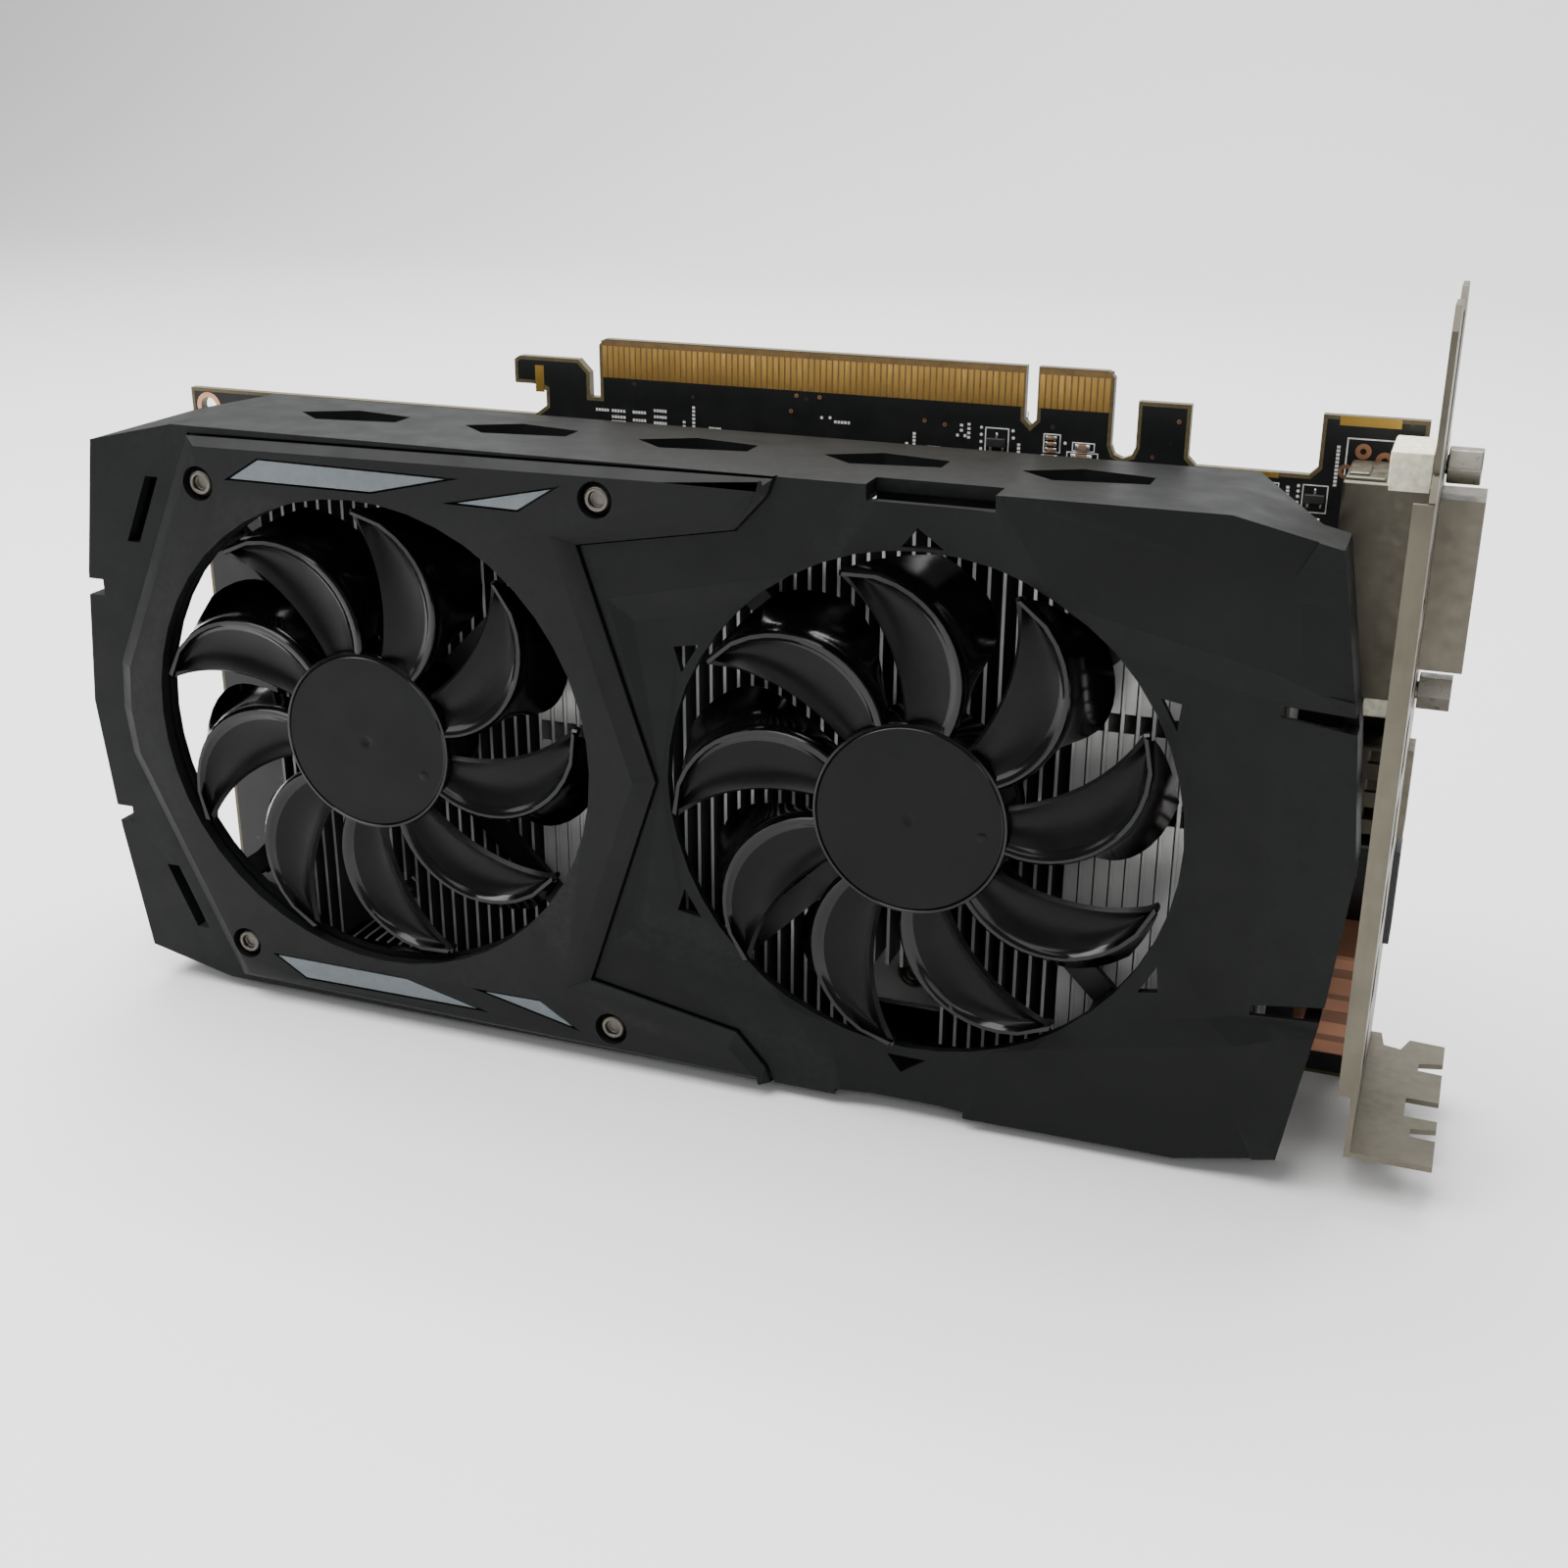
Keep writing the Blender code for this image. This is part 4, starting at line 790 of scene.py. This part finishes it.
def build_board():
    """The board with its bare rim on both faces."""
    bm = copied("printed_circuit_board", "board")
    for side in (-1, 1):
        face_set = [face for face in bm.faces if face.normal.y * side > 0.9]
        made = bmesh.ops.inset_region(
            bm, faces=face_set, thickness=0.6 * MM, use_boundary=True, use_even_offset=True
        )
        rim = set(made["faces"])
        for face in bm.faces:
            if face.normal.y * side > 0.9 and face not in rim:
                face.material_index = 1
    board = mesh_object("board_finished", bm, [LAMINATE, MASK])
    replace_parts(board, "printed_circuit_board")


def on_board(front, x0, z0, x1, z1, thick):
    """A thin box on the board's front or back face, between two corners given in millimetres."""
    base = 0.0 if front else -BOARD_T
    high = thick if front else -BOARD_T - thick
    return ((x0 * MM, base, z0 * MM), (x1 * MM, high, z1 * MM))


def build_contacts():
    """Gold contacts on both faces of the edge, their bevelled strip, and the break-off strips beyond."""
    beds = []
    pieces = []
    for start, count in ((1.6, 11), (-71.6, 71)):
        for index in range(count):
            x = start + index * FINGER_PITCH / MM
            for front in (True, False):
                pieces.append(on_board(front, x - 0.36, -6.2, x + 0.36, -1.1, COPPER_T))
        for front in (True, False):
            beds.append(on_board(front, start - 0.6, -6.2, start + count - 0.4, -0.2, 0.012 * MM))
    boxes("edge_contacts", pieces, GOLD)
    boxes("edge_laminate", beds, FINGER_BED)
    strips = []
    for front in (True, False):
        strips.append(on_board(front, 29.6, -14.0, 37.8, -13.25, COPPER_T))
        strips.append(on_board(front, 45.7, -5.6, 54.3, -4.25, COPPER_T))
        strips.append(on_board(front, -84.5, -9.4, -82.9, -5.0, COPPER_T))
    boxes("break_off_strips", strips, BARE_GOLD)


def ring_into(bm, x, z, inner, outer, front=True, thick=COPPER_T):
    """A flat annulus on one face of the board, in millimetres."""
    sign = 1 if front else -1
    base = 0.0 if front else -BOARD_T
    top = base + sign * thick
    profile = [(inner * MM, base), (inner * MM, top), (outer * MM, top), (outer * MM, base)]
    if inner == 0:
        profile = [(0, top), (outer * MM, top), (outer * MM, base)]
    turned_into(bm, x * MM, z * MM, profile, 20)


def build_copper_spots():
    """Test points, vias and ringed holes along the edge and round the slot screw."""
    bm = bmesh.new()
    ring_into(bm, -150.5, -16.4, 1.65, 2.5)
    ring_into(bm, -150.5, -16.4, 1.65, 2.5, False)
    ring_into(bm, 49.4, -9.2, 0.45, 1.15)
    ring_into(bm, 52.5, -10.4, 0.5, 1.3)
    ring_into(bm, 47.2, -12.3, 0.5, 1.1)
    ring_into(bm, 53.7, -100.6, 1.65, 3.4, False)
    for x, z in ((-38.1, -7.0), (-34.2, -7.0), (-39.0, -9.5), (-16.8, -9.4), (-13.5, -9.8), (22.6, -6.8)):
        ring_into(bm, x, z, 0.12, 0.34)
    for x, z in ((-144.0, -21.5), (-139.0, -14.8), (30.5, -17.4), (19.0, -12.4)):
        ring_into(bm, x, z, 0.12, 0.3)
    bmesh.ops.recalc_face_normals(bm, faces=bm.faces)
    mesh_object("copper_spots", bm, COPPER)


def frame_boxes(front, x0, z0, x1, z1, line=0.16):
    """Four printed lines round a rectangle."""
    return [
        on_board(front, x0, z0, x1, z0 + line, INK_T),
        on_board(front, x0, z1 - line, x1, z1, INK_T),
        on_board(front, x0, z0 + line, x0 + line, z1 - line, INK_T),
        on_board(front, x1 - line, z0 + line, x1, z1 - line, INK_T),
    ]


def build_print():
    """Printed outlines, dots and code-like bars, none of them letters."""
    ink = []
    for x0, x1, rows in (
        (-73.5, -71.0, (-11.6,)),
        (-70.6, -68.0, (-11.6, -12.6, -13.4, -14.2)),
        (-66.8, -64.3, (-11.6, -12.9)),
        (-63.0, -60.6, (-11.1, -12.1, -13.1, -14.1)),
        (-77.3, -75.3, (-14.5,)),
        (-53.2, -51.0, (-13.3,)),
        (-31.7, -28.9, (-10.7,)),
    ):
        for z in rows:
            for part in range(5):
                width = (x1 - x0) / 5
                left = x0 + part * width
                ink.append(on_board(True, left, z - 0.22, left + 0.72 * width, z + 0.22, INK_T))
    for x, z0, z1 in (
        (-55.9, -14.0, -9.7), (-57.6, -14.2, -12.1), (-10.8, -10.7, -9.1), (-9.6, -11.7, -9.0),
        (-18.4, -13.4, -11.2), (-19.6, -14.8, -12.7), (-1.6, -13.4, -11.7), (39.3, -17.1, -14.9),
        (45.9, -14.6, -8.4),
    ):
        steps = max(int((z1 - z0) / 0.55), 2)
        for step in range(steps):
            low = z0 + (z1 - z0) * step / steps
            ink.append(on_board(True, x - 0.24, low, x + 0.24, low + 0.38, INK_T))
    for outline in (
        (-67.4, -15.8, -64.0, -14.1), (-57.2, -15.2, -55.4, -14.4), (-7.0, -14.1, -3.2, -9.7),
        (6.7, -12.4, 10.2, -11.0), (5.9, -14.2, 10.8, -12.5), (41.4, -18.8, 45.1, -14.6),
        (2.2, -12.9, 4.9, -10.0), (28.3, -18.5, 38.0, -14.7),
    ):
        ink += frame_boxes(True, *outline)
    for x0, z0, x1, z1 in (
        (-46.4, -15.2, -40.6, -15.0), (-54.1, -15.0, -50.9, -14.8), (47.0, -7.5, 57.6, -7.3),
        (47.0, -13.4, 47.2, -7.5), (-16.3, -15.1, -13.0, -14.9), (-16.3, -13.5, -14.1, -13.3),
    ):
        ink.append(on_board(True, x0, z0, x1, z1, INK_T))
    for row in range(4):
        z = -15.4 - 0.75 * row
        for part in range(7):
            x = 28.9 + part * 1.3
            ink.append(on_board(True, x, z - 0.2, x + 0.9, z + 0.2, INK_T))
    boxes("printed_marks", ink, INK)
    bm = bmesh.new()
    dots = [
        (-48.5, -14.7), (-33.8, -10.2), (-32.4, -10.1), (-7.6, -9.8), (-7.6, -10.9), (-7.6, -12.0),
        (-7.6, -13.1), (-6.1, -14.6), (-4.1, -14.6), (-2.6, -10.0), (-2.5, -11.1), (5.6, -11.3),
        (-11.4, -11.3), (-10.2, -11.3), (40.8, -14.9), (40.8, -15.7), (40.8, -16.5), (40.8, -17.4),
        (-43.3, -14.1), (-18.0, -14.6),
    ]
    for x, z in dots:
        ring_into(bm, x, z, 0, 0.24, True, INK_T)
    bmesh.ops.recalc_face_normals(bm, faces=bm.faces)
    mesh_object("printed_dots", bm, INK)


def chip_part(bm, x, z, across, tall, high, cap=0.0):
    """A two-ended part: a body in one look and end caps in another."""
    half_x, half_z = across / 2, tall / 2
    low = ((x - half_x) * MM, 0.05 * MM, (z - half_z) * MM)
    box_into(bm, low, ((x + half_x) * MM, high * MM, (z + half_z) * MM))
    if not cap:
        return
    grow = 0.03
    for side in (-1, 1):
        near, far = sorted((x + side * half_x, x + side * (half_x - cap)))
        low = ((near - grow) * MM, 0.01 * MM, (z - half_z - grow) * MM)
        box_into(bm, low, ((far + grow) * MM, (high + grow) * MM, (z + half_z + grow) * MM), 1)


def build_small_parts():
    """Capacitors, resistors and small transistors along the edge."""
    bm = bmesh.new()
    capacitors = (
        (-65.7, -15.0, 2.0, 1.0), (8.4, -11.7, 2.2, 0.9), (8.3, -13.4, 3.2, 1.3), (-56.3, -14.8, 1.0, 0.5),
    )
    for x, z, across, tall in capacitors:
        chip_part(bm, x, z, across, tall, 0.6, across * 0.22)
    for z in (-10.6, -11.5, -12.4):
        chip_part(bm, 3.5, z, 1.7, 0.6, 0.5, 0.35)
    chip_part(bm, 3.4, -13.8, 2.6, 1.3, 0.8, 0.6)
    for x in (-73.0, -71.4, -69.8, -62.4, -61.0):
        chip_part(bm, x, -15.3, 1.0, 0.5, 0.35, 0.25)
    for row in range(3):
        chip_part(bm, 20.4 + row * 1.7, -17.6, 1.0, 0.5, 0.35, 0.25)
    bmesh.ops.recalc_face_normals(bm, faces=bm.faces)
    rounded(mesh_object("chip_parts", bm, [CERAMIC, SOLDER]), 0.05 * MM, 1)
    bm = bmesh.new()
    for x, z in ((-5.1, -11.9), (43.3, -16.6)):
        chip_part(bm, x, z, 2.9, 1.3, 1.0)
        for dx, dz in ((0, 1.0), (-0.95, -1.0), (0.95, -1.0)):
            low = ((x + dx - 0.2) * MM, 0.0, (z + dz - 0.45) * MM)
            box_into(bm, low, ((x + dx + 0.2) * MM, 0.25 * MM, (z + dz + 0.45) * MM), 1)
    chip_part(bm, -15.3, -14.2, 1.9, 1.1, 0.8)
    bmesh.ops.recalc_face_normals(bm, faces=bm.faces)
    rounded(mesh_object("small_transistors", bm, [CHIP, SOLDER]), 0.08 * MM, 1)


FIN_PITCH = 2.3 * MM
FLANGES = (
    (-102.0 * MM, -61.0 * MM),
    (-57.5 * MM, -47.5 * MM),
    (-44.5 * MM, -17.5 * MM),
)


def ribbon_into(bm, points, width):
    """A thin raised track along a polyline on the back face of the board, all in millimetres."""
    base = -BOARD_T
    top = base - TRACK_T
    for (x0, z0), (x1, z1) in zip(points, points[1:]):
        along = Vector((x1 - x0, z1 - z0)).normalized()
        side = Vector((-along.y, along.x)) * width / 2
        corners = [(x0 + side.x, z0 + side.y), (x1 + side.x, z1 + side.y)]
        corners += [(x1 - side.x, z1 - side.y), (x0 - side.x, z0 - side.y)]
        low = [bm.verts.new(at(x * MM, base, z * MM)) for x, z in corners]
        high = [bm.verts.new(at(x * MM, top, z * MM)) for x, z in corners]
        bm.faces.new(high)
        bm.faces.new(low[::-1])
        for i in range(4):
            j = (i + 1) % 4
            bm.faces.new((low[i], low[j], high[j], high[i]))


def middle_of(node):
    low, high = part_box(node)
    return (low.x + high.x) / 2 / MM - DATUM.x / MM, (low.z + high.z) / 2 / MM - DATUM.z / MM


def build_tracks():
    """Tracks that fan out from the contacts to the processor, and a bundle beside the supply socket."""
    core_x, core_z = middle_of("gpu_package")
    bm = bmesh.new()
    for index in range(48):
        x = -66.0 + index * 1.45
        spread = core_x - 11.5 + index * 0.49
        bend = (x, -10.5 - 0.12 * abs(index - 24))
        ribbon_into(bm, [(x, -7.2), bend, (spread, core_z + 19.5), (spread, core_z + 13)], 0.2)
    for lane in range(9):
        x = -140 + lane * 0.8
        ribbon_into(bm, [(x, -106), (x, -60 - lane * 0.8), (-112, -34 - lane * 0.9)], 0.3)
    bmesh.ops.recalc_face_normals(bm, faces=bm.faces)
    mesh_object("board_tracks", bm, TRACK)


def solder_dome(bm, x, z, radius, high):
    """A pin's fillet of solder on the back face, in millimetres."""
    base = -BOARD_T
    profile = [
        (0, base - high * MM),
        (radius * 0.35 * MM, base - high * 0.92 * MM),
        (radius * 0.6 * MM, base - high * 0.45 * MM),
        (radius * MM, base - 0.03 * MM),
        (radius * MM, base),
    ]
    turned_into(bm, x * MM, z * MM, profile, 14)


def build_back():
    """What the back of the board carries: solder joints, small parts, vias and printed outlines."""
    bm = bmesh.new()
    for column in range(3):
        for row in range(8):
            solder_dome(bm, 50.0 + 1.9 * column, -16.8 - 2.6 * row, 0.62, 0.5)
    for z in (-12.2, -40.2):
        solder_dome(bm, 55.6, z, 1.4, 0.6)
    for z0, z1, step in ((-52.6, -64.6, 1.25), (-68.6, -82.4, 1.3)):
        for index in range(int((z0 - z1) / step)):
            solder_dome(bm, 51.5 if index % 2 else 53.4, z0 - step * index, 0.45, 0.35)
    for index in range(1, 7):
        x, z = middle_of(f"power_choke_{index}")
        for dz in (-3.0, 3.0):
            solder_dome(bm, x, z + dz, 1.1, 0.5)
    for index in range(1, 5):
        x, z = middle_of(f"capacitor_{index}")
        for dx in (-1.3, 1.3):
            solder_dome(bm, x + dx, z, 0.7, 0.5)
    x, z = middle_of("power_socket")
    for column in (-2.1, 2.1):
        for row in range(4):
            solder_dome(bm, x + column, z - 6.3 + 4.2 * row, 1.0, 0.6)
    x, z = middle_of("fan_header")
    for pin in range(4):
        solder_dome(bm, x - 3.0 + 2.0 * pin, z, 0.6, 0.45)
    bmesh.ops.recalc_face_normals(bm, faces=bm.faces)
    smooth(mesh_object("solder_joints", bm, SOLDER), 60)

    core_x, core_z = middle_of("gpu_package")
    parts = []
    for row in range(6):
        for column in range(7):
            if (row in (0, 5) or column in (0, 6)) or (row + column) % 2:
                parts.append((core_x - 9 + 3.0 * column, core_z - 7.5 + 3.0 * row, 1.7, 0.9))
    for index in range(1, 9):
        x, z = middle_of(f"memory_chip_{index}")
        parts += [(x - 3.0 + 2.0 * part, z + 7.0, 1.1, 0.6) for part in range(4)]
        parts += [(x - 3.0 + 2.0 * part, z - 7.0, 1.1, 0.6) for part in range(4)]
    rng = random.Random(7)
    for step in range(46):
        x, z = -142 + 2.9 * step % 60, -30 - 9.5 * (step % 8)
        parts.append((x + rng.uniform(-0.8, 0.8), z + rng.uniform(-1.5, 1.5), 1.6, 0.8))
    parts += [(-70 + 2.05 * step, -13.0 - 0.9 * (step % 2), 1.0, 0.5) for step in range(38)]
    bm = bmesh.new()
    ink = []
    for x, z, across, tall in parts:
        half, cap = across / 2, across * 0.25
        sections = (
            (x - half + cap, x + half - cap, 0.45, 0),
            (x - half, x - half + cap, 0.5, 1),
            (x + half - cap, x + half, 0.5, 1),
        )
        for x0, x1, high, slot in sections:
            box_into(bm, *on_board(False, x0, z - tall / 2, x1, z + tall / 2, high * MM), slot)
        if across > 1.2:
            margin_x, margin_z = half + 0.35, tall / 2 + 0.3
            ink += frame_boxes(False, x - margin_x, z - margin_z, x + margin_x, z + margin_z, 0.12)
    bmesh.ops.recalc_face_normals(bm, faces=bm.faces)
    mesh_object("back_chip_parts", bm, [CERAMIC, SOLDER])
    for half in (17.5, 28.0):
        for sx in (-1, 1):
            for sz in (-1, 1):
                x, z = core_x + sx * half, core_z + sz * half
                ink.append(on_board(False, min(x, x - sx * 4), z - 0.1, max(x, x - sx * 4), z + 0.1, INK_T))
                ink.append(on_board(False, x - 0.1, min(z, z - sz * 4), x + 0.1, max(z, z - sz * 4), INK_T))
    for index in range(1, 9):
        x, z = middle_of(f"memory_chip_{index}")
        ink += frame_boxes(False, x - 6.5, z - 5.4, x + 6.5, z + 5.4, 0.16)
    ink += frame_boxes(False, 47.6, -41.8, 56.9, -10.9, 0.18)
    boxes("back_print", ink, INK)
    bm = bmesh.new()
    for step in range(150):
        angle, reach = rng.uniform(0, 2 * pi), rng.uniform(12.5, 26)
        ring_into(bm, core_x + reach * sin(angle), core_z + reach * cos(angle), 0.1, 0.26, False)
    bmesh.ops.recalc_face_normals(bm, faces=bm.faces)
    mesh_object("back_vias", bm, COPPER)


def build_ports():
    """Rounded shells, cream blocks at both ends of the wide port, and windows in the narrow one."""
    refine("dvi_connector", PORT_STEEL, 0.55 * MM, 3)
    windows = []
    for x, z in ((55.6, -53.2), (55.6, -57.8), (55.6, -62.2)):
        windows.append(((x * MM, 5.0 * MM, (z - 1.0) * MM), ((x + 1.9) * MM, 40.0 * MM, (z + 1.0) * MM)))
    bm = bmesh.new()
    for low, high in windows:
        box_into(bm, low, high)
    bmesh.ops.recalc_face_normals(bm, faces=bm.faces)
    refine("hdmi_connector", PORT_STEEL, 0.3 * MM, 2, [mesh_object("port_windows", bm, SHROUD, None)])
    blocks = [
        ((53.9 * MM, 2.0 * MM, -11.7 * MM), (59.7 * MM, 14.05 * MM, -6.0 * MM)),
        ((54.2 * MM, 3.0 * MM, -44.6 * MM), (59.7 * MM, 13.9 * MM, -40.8 * MM)),
    ]
    boxes("port_end_blocks", blocks, CREAM, bevel=0.25 * MM)
    cap = [
        ((48.2 * MM, 1.5 * MM, -10.9 * MM), (53.6 * MM, 13.2 * MM, -10.1 * MM)),
        ((48.6 * MM, 6.0 * MM, -10.3 * MM), (51.4 * MM, 12.0 * MM, -9.7 * MM)),
    ]
    boxes("port_cap", cap, PORT_STEEL, bevel=0.2 * MM)


def build_fins():
    """The fin stacks: bright front edges, flanges where the stack is closed, and sides darkened by painted
    shade elsewhere.
    """
    for side, closed_from in (("left", -74 * MM), ("right", 14 * MM)):
        node = f"fin_stack_{side}"
        bm = copied(node, node)
        for face in bm.faces:
            middle = face.calc_center_median()
            # Side faces short of the flanges get the dark copy of the aluminium: painted shade.
            if middle.x - DATUM.x < closed_from and abs(face.normal.x) > 0.9:
                face.material_index = 1
        low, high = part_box(node)
        front = DATUM.y - low.y
        first, last = low.x - DATUM.x + 0.1 * MM, high.x - DATUM.x - 2.4 * MM
        count = int(round((last - first) / FIN_PITCH))
        for index in range(count + 1):
            x = first + index * FIN_PITCH
            if x < closed_from:
                continue
            for bottom, top in FLANGES:
                low = (x + 0.5 * MM, front - 0.45 * MM, bottom)
                box_into(bm, low, (x + 2.05 * MM, front - 0.12 * MM, top))
        bmesh.ops.recalc_face_normals(bm, faces=bm.faces)
        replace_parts(mesh_object(f"{node}_finished", bm, [FIN_METAL, FIN_PAINTED_SHADE]), node)


def build_metal_parts():
    refine("bracket", BRACKET_STEEL, 0.28 * MM, 2)
    for name in ("upper", "lower"):
        refine(f"jackscrew_{name}", SCREW_ZINC, 0.35 * MM, 2)
    refine("bracket_screw", SCREW_ZINC, 0.3 * MM, 2)
    refine("copper_port_shield", PORT_SHIELD, 0.3 * MM, 2)
    low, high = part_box("copper_port_shield")
    bands = []
    for top, width in ((0.12, 0.09), (0.38, 0.05), (0.55, 0.12), (0.8, 0.06)):
        z = high.z - (high.z - low.z) * top - DATUM.z
        bands.append((
            (low.x - DATUM.x + 0.4 * MM, DATUM.y - low.y - 0.2 * MM, z - (high.z - low.z) * width),
            (high.x - DATUM.x - 0.4 * MM, DATUM.y - low.y + 0.04 * MM, z),
        ))
    boxes("port_shield_bands", bands, TARNISH)
    for index in (1, 2, 3, 4):
        refine(f"plate_screw_{index}", DARK_SCREW, 0.3 * MM, 3)
    for side in ("left", "right"):
        refine(f"cooler_screw_{side}", SCREW_ZINC, 0.25 * MM, 2)


def build_rest():
    for node, obj in NODES.items():
        if node in REPLACED:
            continue
        look = look_of(node)
        obj.data.materials.clear()
        obj.data.materials.append(look)


def look_of(node):
    """The look of a CAD node that no new piece stands for."""
    looks = (
        ("heat_pipe", COPPER), ("cooler_base", COPPER), ("spring_screw", SCREW_ZINC),
        ("capacitor", SCREW_ZINC), ("gpu_package", PACKAGE), ("gpu_die", SILICON), ("memory", CHIP),
        ("power_choke", FERRITE), ("left_fan_motor", MOTOR_PLASTIC), ("right_fan_motor", MOTOR_PLASTIC),
    )
    for start, look in looks:
        if node.startswith(start):
            return look
    return SOCKET


REPLACED = {
    "shroud", "front_plate", "printed_circuit_board", "left_fan_rotor", "right_fan_rotor", "fin_stack_left",
    "fin_stack_right", "dvi_connector", "hdmi_connector", "bracket", "bracket_screw", "jackscrew_upper",
    "jackscrew_lower", "copper_port_shield", "cooler_screw_left", "cooler_screw_right",
}
REPLACED |= {f"plate_screw_{index}" for index in (1, 2, 3, 4)}
REPLACED |= {f"stripe_{place}_{kind}" for place in ("top", "bottom") for kind in ("long", "short")}

build_camera()
build_studio()
for fan, (fan_x, fan_phase) in FANS.items():
    build_fan(fan, fan_x, fan_phase)
build_shroud()
build_plate()
build_board()
build_contacts()
build_copper_spots()
build_print()
build_small_parts()
build_tracks()
build_back()
build_ports()
build_fins()
build_metal_parts()
build_rest()
